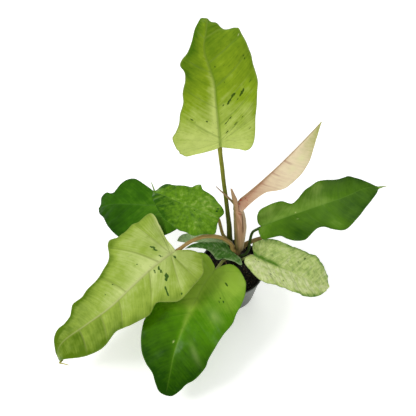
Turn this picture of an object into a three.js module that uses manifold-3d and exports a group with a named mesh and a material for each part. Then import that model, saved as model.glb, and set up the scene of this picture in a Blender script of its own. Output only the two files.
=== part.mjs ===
// Potted snowdrift philodendron: a nursery pot of soil, one short stem, ten leaves on their stalks,
// and the papery sheaths round the newest leaf. Millimetres, +Z up.
// The origin is the middle of the pot's flat underside. The photograph looks along +Y from above.

import * as THREE from 'three';
import { mergeVertices } from 'three/addons/utils/BufferGeometryUtils.js';
import Module from 'manifold-3d';

const wasm = await Module();
wasm.setup();

// Driving dimensions of the pot and the soil
const POT = {
  height: 82,
  rimRadius: 55,
  baseRadius: 42,
  wall: 1.6,
  floor: 2,
  lipHeight: 5,
  lipProud: 1.2,
  sides: 48,
};
const DRAIN = { count: 5, radius: 5, circle: 27, sides: 16 };
const SOIL = { top: 72, mound: 2.2, rings: 9, sides: 32 };
const GAP = 0.3;

// Driving dimensions of the plant
const BLADE_THICKNESS = 0.8;
const BLADE_ROWS = 3;
const BACK_REACH = 90;
const SPINE_STEP = 1;
const VEIN_SLOPE = 0.7;
const VEIN_CROWD = 1.15;
const VEIN_BOW = 0.05;
const STALK_SIDES = 8;
const STALK_STEP = 11;
const STALK_DROP = 0.9;

const STEM = {
  axis: [[8, 15, 44], [8, 15, 72], [8.4, 13, 98], [9, 10.5, 122]],
  radii: [4.5, 6.6, 6.5, 6.2],
  steps: 10,
  sides: 14,
};

const COLOUR = {
  pot: 0x7c8078,
  soil: 0x1c1612,
  stem: 0x6e5a34,
  sheath: 0xb09078,
  lime: 0x9cba3e,
  cream: 0xe0cfa0,
  darkGreen: 0x3f7a1a,
  paleGreen: 0xb8cc88,
  midGreen: 0x6b9a22,
  paleLime: 0xb2cb68,
  deepGreen: 0x2f5e18,
  mottledGreen: 0x5e8e2c,
  blueGreen: 0x3c6b34,
  greyGreen: 0x8fac7c,
  olive: 0x6a7426,
  oliveBrown: 0x8e7838,
  tan: 0xa87850,
  stalkGreen: 0x34601c,
  paleOlive: 0x9aa262,
  brown: 0x7c5636,
};

// Each leaf grows from its joint along a midrib: heading is the compass direction of growth from +X
// towards +Y, rise is the slope at the base, before the tip and at the tip, and bend is the stretch
// of the midrib where the tip's own bend happens. right and left are points on the flat margin,
// seen from above with the tip up: millimetres across and along, from the joint to the tip. drift is
// how far across the flat blade the midrib wanders, at equal steps from the joint to the tip. Where
// the blade closes up behind its joint, notch is how far back the margin starts.
const LEAVES = [
  {
    name: 'leaf_1',
    colour: COLOUR.lime,
    joint: [-23, 50, 326], heading: 100, sweep: 14, turn: -26,
    length: 230, rise: [64, 48, -85], bend: [0.66, 0.9],
    fold: [6, 6], cup: [0.8, 0.8], droop: [-8, -45], back: 10, hub: 8, stations: 34,
    wave: { height: 2.5, half: 60, count: 4, left: 0.2, right: 0.6 },
    drift: [0, 0, 0, 0, 1, -3, -6, 0, 3, 1, 0],
    right: [[10, -2], [20, -4], [29, -6], [36, -8], [43, -5], [48, 3], [51, 16], [53, 33], [56, 54],
      [58, 71], [61, 84], [60, 98], [58, 110], [57, 120], [53, 133], [48, 151], [44, 166], [37, 179],
      [25, 196], [11, 215]],
    left: [[-9, -2], [-21, -3.5], [-35, -5], [-47, -6.5], [-52, -5.5], [-56, -2], [-59, 0], [-60, 5],
      [-63, 9], [-67, 25], [-61, 34], [-55, 45], [-52, 58], [-46, 73], [-45, 87], [-39, 103],
      [-38, 114], [-42, 123], [-38, 130], [-29, 137], [-21, 149], [-15, 163], [-8, 175], [-4, 188],
      [-3, 208]],
  },
  {
    name: 'leaf_2',
    colour: COLOUR.cream,
    joint: [5, 10, 254], heading: 17, sweep: 16, length: 166, rise: [43, 43, 40], bend: [0.5, 0.98],
    fold: [-68, -68], cup: [0, 0], notch: -2, back: 100, hub: 5, stations: 24,
    wave: { height: 0, half: 40, count: 2, left: 0, right: 0.3 },
    right: [[5, -7], [9, -14], [13, -18], [17, -16], [18, -6], [17, 6], [17, 22], [20, 37], [29, 48],
      [37, 60], [39, 76], [39, 91], [35, 106], [30, 118], [16, 140], [6, 156]],
    left: [[-5, -7], [-9, -13], [-13, -15], [-15, -10], [-16, 6], [-16, 22], [-19, 37], [-26, 48],
      [-34, 62], [-36, 84], [-33, 104], [-26, 122], [-14, 142], [-5, 157]],
  },
  {
    name: 'leaf_3',
    colour: COLOUR.darkGreen,
    joint: [44, 12, 185], heading: 6, sweep: 22, length: 214, rise: [24, -8, -20], bend: [0.7, 1],
    fold: [8, 8], cup: [1.2, 1.2], back: 10, hub: 8, stations: 32,
    wave: { height: 2.5, half: 50, count: 4, left: 0.2, right: 0.6 },
    drift: [0, -1.5, -2, -2, -2.5, -5.5, 0],
    right: [[6, -6], [17, -5], [27, -1], [29, 12], [31, 25], [38, 32], [45, 42], [50, 55], [48, 62],
      [42, 71], [38, 80], [40, 89], [47, 98], [53, 108], [54, 115], [50, 125], [41, 140], [30, 156],
      [20, 173], [11, 188], [3, 199], [1.5, 207]],
    left: [[-4, -4], [-12, -5], [-21, -3], [-29, 3], [-32, 14], [-32, 30], [-30, 43], [-23, 52],
      [-21, 58], [-26, 68], [-35, 82], [-40, 98], [-44, 112], [-43, 125], [-37, 140], [-35, 153],
      [-34, 164], [-24, 179], [-13, 191], [-4, 200], [-1.5, 207]],
  },
  {
    name: 'leaf_4',
    colour: COLOUR.paleGreen,
    joint: [36, -2, 124], heading: -16, sweep: 6, length: 143, rise: [-10, -24, -45], bend: [0.6, 1],
    fold: [6, 6], cup: [1, 1], back: 0, hub: 7, stations: 28,
    wave: { height: 1.5, half: 42, count: 4, left: 0.2, right: 0.6 },
    drift: [2, 5, 7.5, 9.5, 11, 11, 4],
    right: [[6, -7], [12, -12], [18, -13], [25, -11], [31, -3], [38, 7], [43, 16], [46, 30], [44, 48],
      [44, 66], [45, 83], [46, 92], [43, 102], [37, 113], [29, 123], [17, 133]],
    left: [[-5, -4], [-14, -8], [-23, -6], [-29, 3], [-36, 18], [-40, 34], [-38, 50], [-37, 67], [-39, 85],
      [-38, 99], [-34, 109], [-28, 118], [-22, 128], [-14, 136], [-7, 136]],
  },
  {
    name: 'leaf_5',
    colour: COLOUR.midGreen,
    joint: [-29, -28, 118], heading: 233, sweep: 30, length: 218, rise: [0, -34, -50], bend: [0.6, 1],
    fold: [6, 6], cup: [1.2, 1.2], back: 10, hub: 8, stations: 32,
    wave: { height: 2, half: 62, count: 3.5, left: 0.3, right: 0 },
    drift: [0, -1, -3, -3, -2, -2.5, 0],
    right: [[5, -5], [13, -9], [21, -12], [30, -13], [39, -10], [52, 0], [62, 18], [67, 42], [67, 68],
      [61, 90], [57, 106], [59, 118], [57, 132], [53, 147], [47, 161], [37, 174], [25, 185], [18, 199],
      [11, 212]],
    left: [[-3, -9], [-8, -18], [-14, -24], [-22, -26], [-31, -25], [-40, -21], [-48, -16], [-55, -10],
      [-62, 2], [-67, 14], [-70, 32], [-70, 50], [-72, 72], [-66, 98], [-61, 122], [-56, 145], [-55, 157],
      [-49, 171], [-41, 183], [-30, 193], [-21, 206], [-10, 217]],
  },
  {
    name: 'leaf_6',
    colour: COLOUR.paleLime,
    joint: [-92, -17, 160], heading: 213, sweep: 10, length: 270, rise: [-14, -24, -90], bend: [0.8, 0.98],
    fold: [6, 6], cup: [1.2, 1.2], back: 20, hub: 9, stations: 36,
    wave: { height: 2.5, half: 65, count: 4, left: 0.1, right: 0.5 },
    drift: [0, -1, -5, -7.5, -1.5, 6, 0],
    right: [[10, 0], [22, 1], [36, 0], [56, -3], [70, -5], [81, -3], [84, 8], [84, 20], [90, 31],
      [86, 42], [84, 52], [82, 62], [86, 73], [80, 80], [65, 87], [57, 95], [52, 107], [47, 120],
      [44, 131], [42, 146], [38, 159], [40, 175], [34, 184], [28, 191], [26, 204], [27, 217], [23, 228],
      [13, 240], [4, 255]],
    left: [[-7, -9], [-18, -21], [-33, -28], [-50, -21], [-62, -13], [-71, 11], [-75, 30], [-74, 44],
      [-63, 59], [-54, 73], [-62, 91], [-61, 104], [-56, 122], [-49, 139], [-46, 150], [-49, 166],
      [-51, 180], [-47, 196], [-36, 216], [-20, 234], [-10, 246], [-4, 259]],
  },
  {
    name: 'leaf_7',
    colour: COLOUR.deepGreen,
    joint: [-101, 79, 150], heading: 170, sweep: 5, length: 142, rise: [-4, -22, -38], bend: [0.6, 1],
    fold: [6, 6], cup: [1, 1], back: 0, hub: 6, stations: 30,
    wave: { height: 2, half: 60, count: 4, left: 0.2, right: 0.6 },
    drift: [0, -2, -3, -1, 1, 4, 4],
    right: [[9, -8], [24, -10], [38, 2], [44, 17], [38, 27], [26, 34], [21, 41], [23, 48], [32, 57],
      [41, 64], [50, 69], [55, 77], [53, 89], [48, 98], [39, 105], [30, 112], [29, 119], [33, 127],
      [32, 134], [25, 139], [12, 138]],
    left: [[-8, -10], [-26, -21], [-42, -23], [-53, -17], [-63, -5], [-69, 12], [-72, 33], [-72, 56],
      [-69, 78], [-61, 91], [-49, 103], [-37, 112], [-24, 121], [-11, 134]],
  },
  {
    name: 'leaf_8',
    colour: COLOUR.mottledGreen,
    joint: [-68, 27, 216], heading: 150, sweep: -14, length: 82, rise: [-5, -22, -38], bend: [0.6, 1],
    fold: [4, 4], cup: [2, 2], notch: -49, back: 30, hub: 4, stations: 32,
    wave: { height: 2, half: 48, count: 4, left: 0.2, right: 0.6 },
    right: [[5, -51], [12, -53], [18, -50], [23, -43], [28, -34], [34, -24], [37, -13], [38, -1], [42, 4],
      [47, 9], [46, 15], [41, 19], [35, 22], [32, 36], [28, 50], [24, 61], [16, 72], [7, 79]],
    left: [[-5, -50], [-12, -51], [-21, -53], [-28, -53], [-34, -44], [-40, -36], [-45, -29], [-44, -16],
      [-46, -7], [-45, 1], [-42, 10], [-39, 21], [-33, 34], [-24, 49], [-14, 65], [-5, 76]],
  },
  {
    name: 'leaf_9',
    colour: COLOUR.blueGreen,
    joint: [6, 0.5, 113.5], heading: 150, sweep: 42, length: 88, rise: [6, 3, -8], bend: [0.5, 1],
    fold: [-4, 4], cup: [1, 1], notch: -9, back: 0, hub: 5, stations: 26,
    wave: { height: 0.8, half: 25, count: 3, left: 0.1, right: 0.6 },
    right: [[1, -8], [2, -3], [3, 3], [6, 9], [8, 15], [13, 22], [18, 31], [16, 40], [13, 51], [8, 66],
      [4, 79]],
    left: [[-2, -12], [-7, -17], [-10, -13], [-10, -2], [-13, 10], [-14, 18], [-19, 26], [-18, 32],
      [-13, 38], [-7, 47], [-4, 57], [-2, 68], [-1, 79]],
  },
  {
    name: 'leaf_10',
    colour: COLOUR.greyGreen,
    joint: [-17, 19, 134], heading: 178, sweep: 0, length: 76, rise: [6, -10, -20], bend: [0.5, 1],
    fold: [4, 4], cup: [3, 3], back: 0, hub: 4, stations: 18,
    wave: { height: 0.5, half: 14, count: 3, left: 0.2, right: 0.7 },
    right: [[5, -1], [9, 8], [12, 22], [13, 38], [12, 52], [11, 64], [7, 72]],
    left: [[-3, -1], [-5, 8], [-6, 24], [-6, 42], [-6, 60], [-3, 71]],
  },
];

// Stalks, from inside the stem to just short of the leaf that each one carries. lead is how far
// behind the leaf's joint the stalk straightens out to run in under its midrib.
const STALKS = [
  {
    name: 'stalk_1', leaf: 'leaf_1', colour: COLOUR.olive,
    radii: [3.1, 4.8, 4.1, 3.6, 3.4, 3.3, 3.1], lead: 9,
    route: [[8.5, 12, 102], [1, 17, 111], [-3, 18.7, 126.4], [-5, 19.7, 143.4], [-6.5, 20.6, 173],
      [-10, 25, 206], [-13.5, 31, 238], [-17, 36.5, 265], [-19.5, 42, 288]],
  },
  {
    name: 'stalk_3', leaf: 'leaf_3', colour: COLOUR.stalkGreen, radii: [2.3, 2.4, 2.2], lead: 7,
    route: [[8.4, 13, 101], [15.5, 7, 106], [21.6, 5, 113], [26.3, 7, 122], [27.5, 10.4, 136],
      [28.6, 13, 151], [31.5, 14, 166]],
  },
  {
    name: 'stalk_4', leaf: 'leaf_4', colour: COLOUR.paleOlive, radii: [2.2, 1.9], lead: 4,
    route: [[8.3, 14, 90], [14, 5, 96], [20, 1.5, 105], [27, 0, 114]],
  },
  {
    name: 'stalk_5', leaf: 'leaf_5', colour: COLOUR.paleOlive, radii: [2.2, 2.7], lead: 5,
    route: [[8.2, 14.5, 84], [0, 10, 92], [-8, 4, 100], [-15.3, -4, 107]],
  },
  {
    name: 'stalk_6', leaf: 'leaf_6', colour: COLOUR.tan, radii: [3.4, 2.9], lead: 8,
    route: [[8.7, 11, 112], [0.5, 8, 124], [-2.5, 7.7, 140], [-11.4, 7.7, 152], [-21, 6.7, 161],
      [-34.6, 4, 168], [-48.4, 1.7, 170], [-62, -2.6, 168], [-74, -7.5, 164]],
  },
  {
    name: 'stalk_7', leaf: 'leaf_7', colour: COLOUR.stalkGreen, radii: [2.2, 1.9], lead: 8,
    route: [[8.5, 13.8, 92], [4, 23, 95], [-7, 28, 103], [-20, 29, 109], [-42, 33, 118], [-62, 42, 131],
      [-83, 59, 142]],
  },
  {
    name: 'stalk_8', leaf: 'leaf_8', colour: COLOUR.oliveBrown, radii: [2.2, 3.1, 3, 2.6, 2.2, 1.8], lead: 6,
    route: [[8.4, 13.5, 98], [4.5, 22.5, 104], [-2, 26.5, 112.7], [-8.6, 27.2, 125.4], [-15.4, 26.2, 139.4],
      [-20, 29, 160], [-24.5, 31, 180], [-36, 33, 196], [-52, 30, 207]],
  },
  {
    name: 'stalk_9', leaf: 'leaf_9', colour: COLOUR.stalkGreen, radii: [1.5, 1.3], lead: 2,
    route: [[8.4, 13.2, 92], [8.4, 3, 99], [8.6, 0, 106]],
  },
  {
    name: 'stalk_10', leaf: 'leaf_10', colour: COLOUR.paleOlive, radii: [1, 1], lead: 3,
    route: [[8.6, 13, 112], [3, 13.7, 119], [-1.5, 13.1, 126.5], [-8.5, 14.3, 130.5]],
  },
  {
    name: 'old_stalk', leaf: null, colour: COLOUR.brown, radii: [4.8, 4.2, 3.6, 2.8, 2], lead: 0,
    route: [[8.8, 12, 112], [15, 15, 116], [23, 16.6, 126.4], [38.4, 17.2, 138.2], [51, 17.4, 145],
      [66, 17.5, 150]],
  },
  {
    name: 'dry_sliver', leaf: null, colour: COLOUR.brown, radii: [0.7, 0.5], lead: 0,
    route: [[-12, -3.5, 103.4], [-9, -7, 99.5], [-5.5, -10, 97]],
  },
];

// The sheaths stand round the newest leaf's stalk. Each is a rolled sheet given by its sections from
// the foot up: the middle x, y, z, the radius, and the angles that it spans from +X towards +Y.
const SHEATH = { thickness: 0.9, rows: 14, columns: 10 };
const SHEATHS = [
  {
    name: 'sheath_left',
    sections: [
      [10.4, 10, 123.5, 5.2, 70, 305],
      [8.5, 10, 150, 6, 75, 300],
      [6.8, 10, 186, 6.3, 85, 290],
      [4.8, 10, 220, 6.2, 100, 265],
      [2, 11, 243, 4.6, 140, 188],
      [-10.5, 11.5, 262, 3, 130, 260],
      [-28, 12, 285, 1.2, 150, 240],
    ],
  },
  {
    name: 'sheath_right',
    sections: [
      [10.6, 10, 123.5, 7.1, -95, 5],
      [10, 10, 137, 8.4, -95, 10],
      [9.3, 10, 157, 9.9, -100, 45],
      [8.6, 10, 185, 11.2, -105, 45],
      [6.8, 10, 208, 10.6, -110, 50],
      [5.2, 10, 227, 8, -125, 35],
      [4, 10.5, 236, 7.2, -160, -80],
      [3, 11, 246, 6.6, -155, -78],
      [-1.2, 11.4, 262, 4.6, -170, -50],
      [-6.5, 12, 281, 1.4, -170, -60],
    ],
  },
];

const radians = THREE.MathUtils.degToRad;

// Closed meshes

function geometryFrom(positions, triangles) {
  const geometry = new THREE.BufferGeometry();
  geometry.setAttribute('position', new THREE.Float32BufferAttribute(positions, 3));
  geometry.setIndex(triangles);
  geometry.computeVertexNormals();
  return geometry;
}

function toSolid(geometry) {
  const bare = geometry.clone();
  bare.deleteAttribute('normal');
  bare.deleteAttribute('uv');
  const merged = mergeVertices(bare, 1e-3);
  const mesh = new wasm.Mesh({
    numProp: 3,
    vertProperties: new Float32Array(merged.attributes.position.array),
    triVerts: new Uint32Array(merged.index.array),
  });
  mesh.merge();
  return new wasm.Manifold(mesh);
}

function fromSolid(solid) {
  const mesh = solid.getMesh();
  return geometryFrom(Array.from(mesh.vertProperties), Array.from(mesh.triVerts));
}

// A sheet given by its middle surface: points and triangles facing up. It gets its thickness along
// the normals, the same triangles on both faces, and an edge strip round its open rim.
function thickSheet(points, triangles, thickness) {
  const normals = points.map(() => new THREE.Vector3());
  for (const [a, b, c] of triangles) {
    const face = points[b].clone().sub(points[a]).cross(points[c].clone().sub(points[a]));
    for (const corner of [a, b, c]) {
      normals[corner].add(face);
    }
  }
  const positions = [];
  for (const side of [0.5, -0.5]) {
    points.forEach((point, i) => {
      const shift = normals[i].clone().normalize().multiplyScalar(side * thickness);
      positions.push(...point.clone().add(shift).toArray());
    });
  }
  const under = points.length;
  const indices = [];
  const edges = new Set();
  for (const [a, b, c] of triangles) {
    indices.push(a, b, c, under + a, under + c, under + b);
    for (const [from, to] of [[a, b], [b, c], [c, a]]) {
      edges.add(`${from} ${to}`);
    }
  }
  for (const edge of edges) {
    const [from, to] = edge.split(' ').map(Number);
    if (!edges.has(`${to} ${from}`)) {
      indices.push(to, from, under + from, to, under + from, under + to);
    }
  }
  return geometryFrom(positions, indices);
}

// A grid of points that may share places, such as a pole or a seam, as points and triangles.
class SharedGrid {
  constructor() {
    this.points = [];
    this.triangles = [];
    this.places = new Map();
  }

  add(point) {
    const key = point.toArray().map((value) => value.toFixed(3)).join(' ');
    if (!this.places.has(key)) {
      this.places.set(key, this.points.length);
      this.points.push(point);
    }
    return this.places.get(key);
  }

  face(a, b, c) {
    if (a !== b && b !== c && c !== a) {
      this.triangles.push([a, b, c]);
    }
  }
}

// A round solid along a smooth route, its radius running evenly from foot to end.
function taperedRod(route, radii, steps, sides) {
  const curve = new THREE.CatmullRomCurve3(route.map((point) => new THREE.Vector3(...point)));
  const frames = curve.computeFrenetFrames(steps, false);
  const positions = [];
  const indices = [];
  for (let step = 0; step <= steps; step += 1) {
    const along = step / steps;
    const place = along * (radii.length - 1);
    const lower = Math.min(Math.floor(place), radii.length - 2);
    const radius = THREE.MathUtils.lerp(radii[lower], radii[lower + 1], place - lower);
    const centre = curve.getPointAt(along);
    for (let side = 0; side < sides; side += 1) {
      const angle = (2 * Math.PI * side) / sides;
      const point = centre.clone()
        .addScaledVector(frames.normals[step], radius * Math.cos(angle))
        .addScaledVector(frames.binormals[step], radius * Math.sin(angle));
      positions.push(...point.toArray());
    }
  }
  for (let step = 0; step < steps; step += 1) {
    for (let side = 0; side < sides; side += 1) {
      const next = (side + 1) % sides;
      const a = step * sides + side;
      const b = step * sides + next;
      indices.push(a, b, b + sides, a, b + sides, a + sides);
    }
  }
  const foot = positions.length / 3;
  positions.push(...curve.getPointAt(0).toArray(), ...curve.getPointAt(1).toArray());
  for (let side = 0; side < sides; side += 1) {
    const next = (side + 1) % sides;
    indices.push(foot, next, side);
    indices.push(foot + 1, steps * sides + side, steps * sides + next);
  }
  return geometryFrom(positions, indices);
}

// Leaf blades

class Leaf {
  constructor(spec) {
    Object.assign(this, spec);
    const knots = spec.drift ?? [0, 0];
    this.midrib = new THREE.SplineCurve(knots.map((across, i) => new THREE.Vector2(across, i)));
    this.ahead = this.walk(Math.ceil(this.length / SPINE_STEP) + 2, SPINE_STEP);
    this.behind = this.walk(BACK_REACH, -SPINE_STEP);
  }

  // Slope and compass heading of the midrib at a distance along it, in degrees
  directionAt(along) {
    const share = along / this.length;
    const turning = THREE.MathUtils.smoothstep(share, this.bend[0] - 0.15, this.bend[1]);
    const heading = this.heading + this.sweep * share + (this.turn ?? 0) * turning;
    if (along < 0) {
      return [this.rise[0] + (this.back * -along) / 100, heading];
    }
    const tipBend = THREE.MathUtils.smoothstep(share, this.bend[0], this.bend[1]);
    const [base, middle, tip] = this.rise;
    const slope = base + (middle - base) * Math.min(share, 1) + (tip - middle) * tipBend;
    return [slope, heading];
  }

  frameAt(along) {
    const [slope, heading] = this.directionAt(along).map(radians);
    const forward = new THREE.Vector3(
      Math.cos(slope) * Math.cos(heading), Math.cos(slope) * Math.sin(heading), Math.sin(slope));
    const side = new THREE.Vector3(Math.sin(heading), -Math.cos(heading), 0);
    const up = new THREE.Vector3().crossVectors(side, forward);
    return { forward, side, up };
  }

  walk(count, step) {
    const points = [new THREE.Vector3(...this.joint)];
    for (let i = 0; i < count; i += 1) {
      const { forward } = this.frameAt((i + 0.5) * step);
      points.push(points[i].clone().addScaledVector(forward, step));
    }
    return points;
  }

  spineAt(along) {
    const points = along >= 0 ? this.ahead : this.behind;
    const place = Math.abs(along) / SPINE_STEP;
    const lower = Math.min(Math.floor(place), points.length - 2);
    return points[lower].clone().lerp(points[lower + 1], place - lower);
  }

  driftAt(along) {
    return this.midrib.getPoint(THREE.MathUtils.clamp(along / this.length, 0, 1)).x;
  }

  // The blade's middle surface above the flat point (across, along), on the vein with share station.
  // half is 0 to the left of the midrib and 1 to the right.
  surfaceAt(half, across, along, station) {
    const { side, up } = this.frameAt(along);
    const drift = this.driftAt(along);
    const offset = half === 0 ? Math.min(across - drift, 0) : Math.max(across - drift, 0);
    const reach = Math.abs(offset);
    const drooping = THREE.MathUtils.smoothstep(along / this.length, this.bend[0] - 0.1, this.bend[1]);
    const fold = radians(this.fold[half] + (this.droop ? this.droop[half] * drooping : 0));
    const phase = half === 0 ? this.wave.left : this.wave.right;
    const ripple = Math.sin(2 * Math.PI * (this.wave.count * station + phase));
    const lift = reach * Math.sin(fold) - (this.cup[half] * reach * reach) / 1000
      + this.wave.height * (reach / this.wave.half) ** 2 * ripple;
    return this.spineAt(along)
      .addScaledVector(side, drift + offset * Math.cos(fold))
      .addScaledVector(up, lift);
  }

  margin(half) {
    const foot = [this.driftAt(0), this.notch ?? 0];
    const tip = [this.driftAt(this.length), this.length];
    const outline = [foot, ...half, tip].map((point) => new THREE.Vector2(...point));
    return new THREE.SplineCurve(outline).getSpacedPoints(this.stations);
  }

  // Veins leave the midrib in pairs: at hub for the lobes, then ever nearer to the tip
  veinRoots(edges) {
    const starts = edges.map((edge) => edge.findIndex(
      (point) => point.y - VEIN_SLOPE * Math.abs(point.x) > this.hub));
    const first = Math.max(...starts);
    return edges[0].map((point, i) => {
      const share = Math.max(0, (i - first) / (this.stations - first));
      return this.hub + (this.length - this.hub) * share ** VEIN_CROWD;
    });
  }

  geometry() {
    const grid = new SharedGrid();
    const edges = [this.margin(this.right), this.margin(this.left)];
    const roots = this.veinRoots(edges);
    for (const edge of edges) {
      const turned = edge === edges[1];
      const rows = edge.map((point, i) => {
        const bow = roots[i] > this.hub ? VEIN_BOW * Math.abs(point.x) : 0;
        const row = [];
        for (let j = 0; j <= BLADE_ROWS; j += 1) {
          const out = j / BLADE_ROWS;
          const along = THREE.MathUtils.lerp(roots[i], point.y, out) - bow * Math.sin(Math.PI * out);
          const onVein = THREE.MathUtils.lerp(this.driftAt(roots[i]), point.x, out);
          const across = i === 0 ? this.driftAt(along) : onVein;
          row.push(grid.add(this.surfaceAt(turned ? 0 : 1, across, along, i / this.stations)));
        }
        return row;
      });
      for (let i = 0; i < this.stations; i += 1) {
        for (let j = 0; j < BLADE_ROWS; j += 1) {
          const [a, b, c, d] = [rows[i][j], rows[i][j + 1], rows[i + 1][j + 1], rows[i + 1][j]];
          if (turned) {
            grid.face(a, c, b);
            grid.face(a, d, c);
          } else {
            grid.face(a, b, c);
            grid.face(a, c, d);
          }
        }
      }
    }
    return thickSheet(grid.points, grid.triangles, BLADE_THICKNESS);
  }

  // A place under the midrib for the axis of a stalk of the given radius
  seat(along, radius) {
    const { side, up } = this.frameAt(along);
    return this.spineAt(along)
      .addScaledVector(side, this.driftAt(along))
      .addScaledVector(up, -(radius + STALK_DROP))
      .toArray();
  }
}

// Stalks and stem

function stemGeometry(extra) {
  const radii = STEM.radii.map((radius) => radius + extra);
  const axis = STEM.axis.map((point) => [...point]);
  axis[0][2] -= extra;
  axis[axis.length - 1][2] += extra;
  return taperedRod(axis, radii, STEM.steps, STEM.sides);
}

function routeLength(route) {
  return new THREE.CatmullRomCurve3(route.map((point) => new THREE.Vector3(...point))).getLength();
}

function stalkGeometry(stalk, leaf, grownStem) {
  const end = stalk.radii.at(-1);
  const route = [...stalk.route];
  if (leaf) {
    route.push(leaf.seat(-stalk.lead, end + 1), leaf.seat(4, end));
  }
  const steps = Math.round(routeLength(route) / STALK_STEP) + 3;
  const rod = toSolid(taperedRod(route, stalk.radii, steps, STALK_SIDES));
  return fromSolid(rod.subtract(grownStem));
}

// The newest leaf's own stalk runs up inside the sheaths
function newLeafStalkGeometry() {
  const route = [
    [9.6, 10, 123.2], [8.3, 10, 150], [7, 10, 180], [5, 10, 208], [4, 10, 226], [4.4, 10, 241]];
  return taperedRod(route, [3.4, 2.2], 10, STALK_SIDES);
}

function sheathGeometry(sheath) {
  const axis = new THREE.CatmullRomCurve3(sheath.sections.map(([x, y, z]) => new THREE.Vector3(x, y, z)));
  const grid = new SharedGrid();
  const spans = sheath.sections.length - 1;
  const rows = [];
  for (let i = 0; i <= SHEATH.rows; i += 1) {
    const place = (spans * i) / SHEATH.rows;
    const lower = Math.min(Math.floor(place), spans - 1);
    const [below, above] = sheath.sections.slice(lower, lower + 2);
    const blend = (k) => THREE.MathUtils.lerp(below[k], above[k], place - lower);
    const centre = axis.getPoint(i / SHEATH.rows);
    const radius = blend(3);
    const row = [];
    for (let j = 0; j <= SHEATH.columns; j += 1) {
      const angle = radians(THREE.MathUtils.lerp(blend(4), blend(5), j / SHEATH.columns));
      row.push(grid.add(new THREE.Vector3(
        centre.x + radius * Math.cos(angle), centre.y + radius * Math.sin(angle), centre.z)));
    }
    rows.push(row);
  }
  for (let i = 0; i < SHEATH.rows; i += 1) {
    for (let j = 0; j < SHEATH.columns; j += 1) {
      const [a, b, c, d] = [rows[i][j], rows[i][j + 1], rows[i + 1][j + 1], rows[i + 1][j]];
      grid.face(a, b, c);
      grid.face(a, c, d);
    }
  }
  return thickSheet(grid.points, grid.triangles, SHEATH.thickness);
}

// Pot and soil

function wallRadius(height) {
  return THREE.MathUtils.lerp(POT.baseRadius, POT.rimRadius - POT.lipProud, height / POT.height);
}

function turned(profile, sides) {
  const lathe = new THREE.LatheGeometry(profile.map((point) => new THREE.Vector2(...point)), sides);
  lathe.rotateX(Math.PI / 2);
  return lathe;
}

function potGeometry() {
  const lipFoot = POT.height - POT.lipHeight;
  const profile = [
    [0, 0],
    [wallRadius(0) - 1, 0],
    [wallRadius(0), 1],
    [wallRadius(lipFoot - 1), lipFoot - 1],
    [POT.rimRadius, lipFoot],
    [POT.rimRadius, POT.height - 0.8],
    [POT.rimRadius - 0.6, POT.height],
    [wallRadius(POT.height) - POT.wall, POT.height],
    [wallRadius(POT.floor) - POT.wall, POT.floor],
    [0, POT.floor],
  ];
  let pot = toSolid(turned(profile, POT.sides));
  for (let i = 0; i < DRAIN.count; i += 1) {
    const angle = (2 * Math.PI * (i + 0.5)) / DRAIN.count;
    const drill = new THREE.CylinderGeometry(DRAIN.radius, DRAIN.radius, 4 * POT.floor, DRAIN.sides);
    drill.rotateX(Math.PI / 2);
    drill.translate(DRAIN.circle * Math.cos(angle), DRAIN.circle * Math.sin(angle), 0);
    pot = pot.subtract(toSolid(drill));
  }
  return fromSolid(pot);
}

// The soil fills the pot to just below the rim. Its top is a low uneven mound, its side follows the
// wall, and a plain hole in it takes the stem.
function soilGeometry(grownStem) {
  const inner = (height) => wallRadius(height) - POT.wall - 1.5 * GAP;
  const floor = POT.floor + GAP;
  const positions = [0, 0, floor];
  const indices = [];
  const ring = (radiusAt, heightAt) => {
    const first = positions.length / 3;
    for (let side = 0; side < SOIL.sides; side += 1) {
      const angle = (2 * Math.PI * side) / SOIL.sides;
      const radius = radiusAt(angle);
      positions.push(radius * Math.cos(angle), radius * Math.sin(angle), heightAt(radius, angle));
    }
    return first;
  };
  const surface = (radius, angle) => {
    const share = radius / inner(SOIL.top);
    const swells = Math.sin(3 * angle + 1) * Math.sin(5 * share + 0.6);
    const lumps = swells + 0.6 * Math.sin(7 * angle + 4 * share);
    return SOIL.top + SOIL.mound * (1 - share * share) + 0.7 * lumps * share;
  };
  const firsts = [ring(() => inner(floor) - 1, () => floor), ring(() => inner(floor), () => floor + 1)];
  const edgeHeight = SOIL.top - 1.5;
  firsts.push(ring(() => inner(edgeHeight), () => edgeHeight));
  for (let step = SOIL.rings; step >= 1; step -= 1) {
    firsts.push(ring(() => ((inner(edgeHeight) - 1) * step) / SOIL.rings, surface));
  }
  for (let level = 0; level < firsts.length - 1; level += 1) {
    for (let side = 0; side < SOIL.sides; side += 1) {
      const next = (side + 1) % SOIL.sides;
      const [a, b] = [firsts[level] + side, firsts[level] + next];
      const [c, d] = [firsts[level + 1] + next, firsts[level + 1] + side];
      indices.push(a, b, c, a, c, d);
    }
  }
  const crown = positions.length / 3;
  positions.push(0, 0, SOIL.top + SOIL.mound);
  const last = firsts[firsts.length - 1];
  for (let side = 0; side < SOIL.sides; side += 1) {
    const next = (side + 1) % SOIL.sides;
    indices.push(0, firsts[0] + next, firsts[0] + side, last + side, last + next, crown);
  }
  return fromSolid(toSolid(geometryFrom(positions, indices)).subtract(grownStem));
}

// The whole plant in its pot

const plant = new THREE.Group();

function addPiece(name, geometry, color, roughness) {
  const material = new THREE.MeshStandardMaterial({ color, roughness, metalness: 0 });
  const mesh = new THREE.Mesh(geometry, material);
  mesh.name = name;
  plant.add(mesh);
}

const grownStem = toSolid(stemGeometry(GAP));
const leaves = new Map(LEAVES.map((spec) => [spec.name, new Leaf(spec)]));

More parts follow.
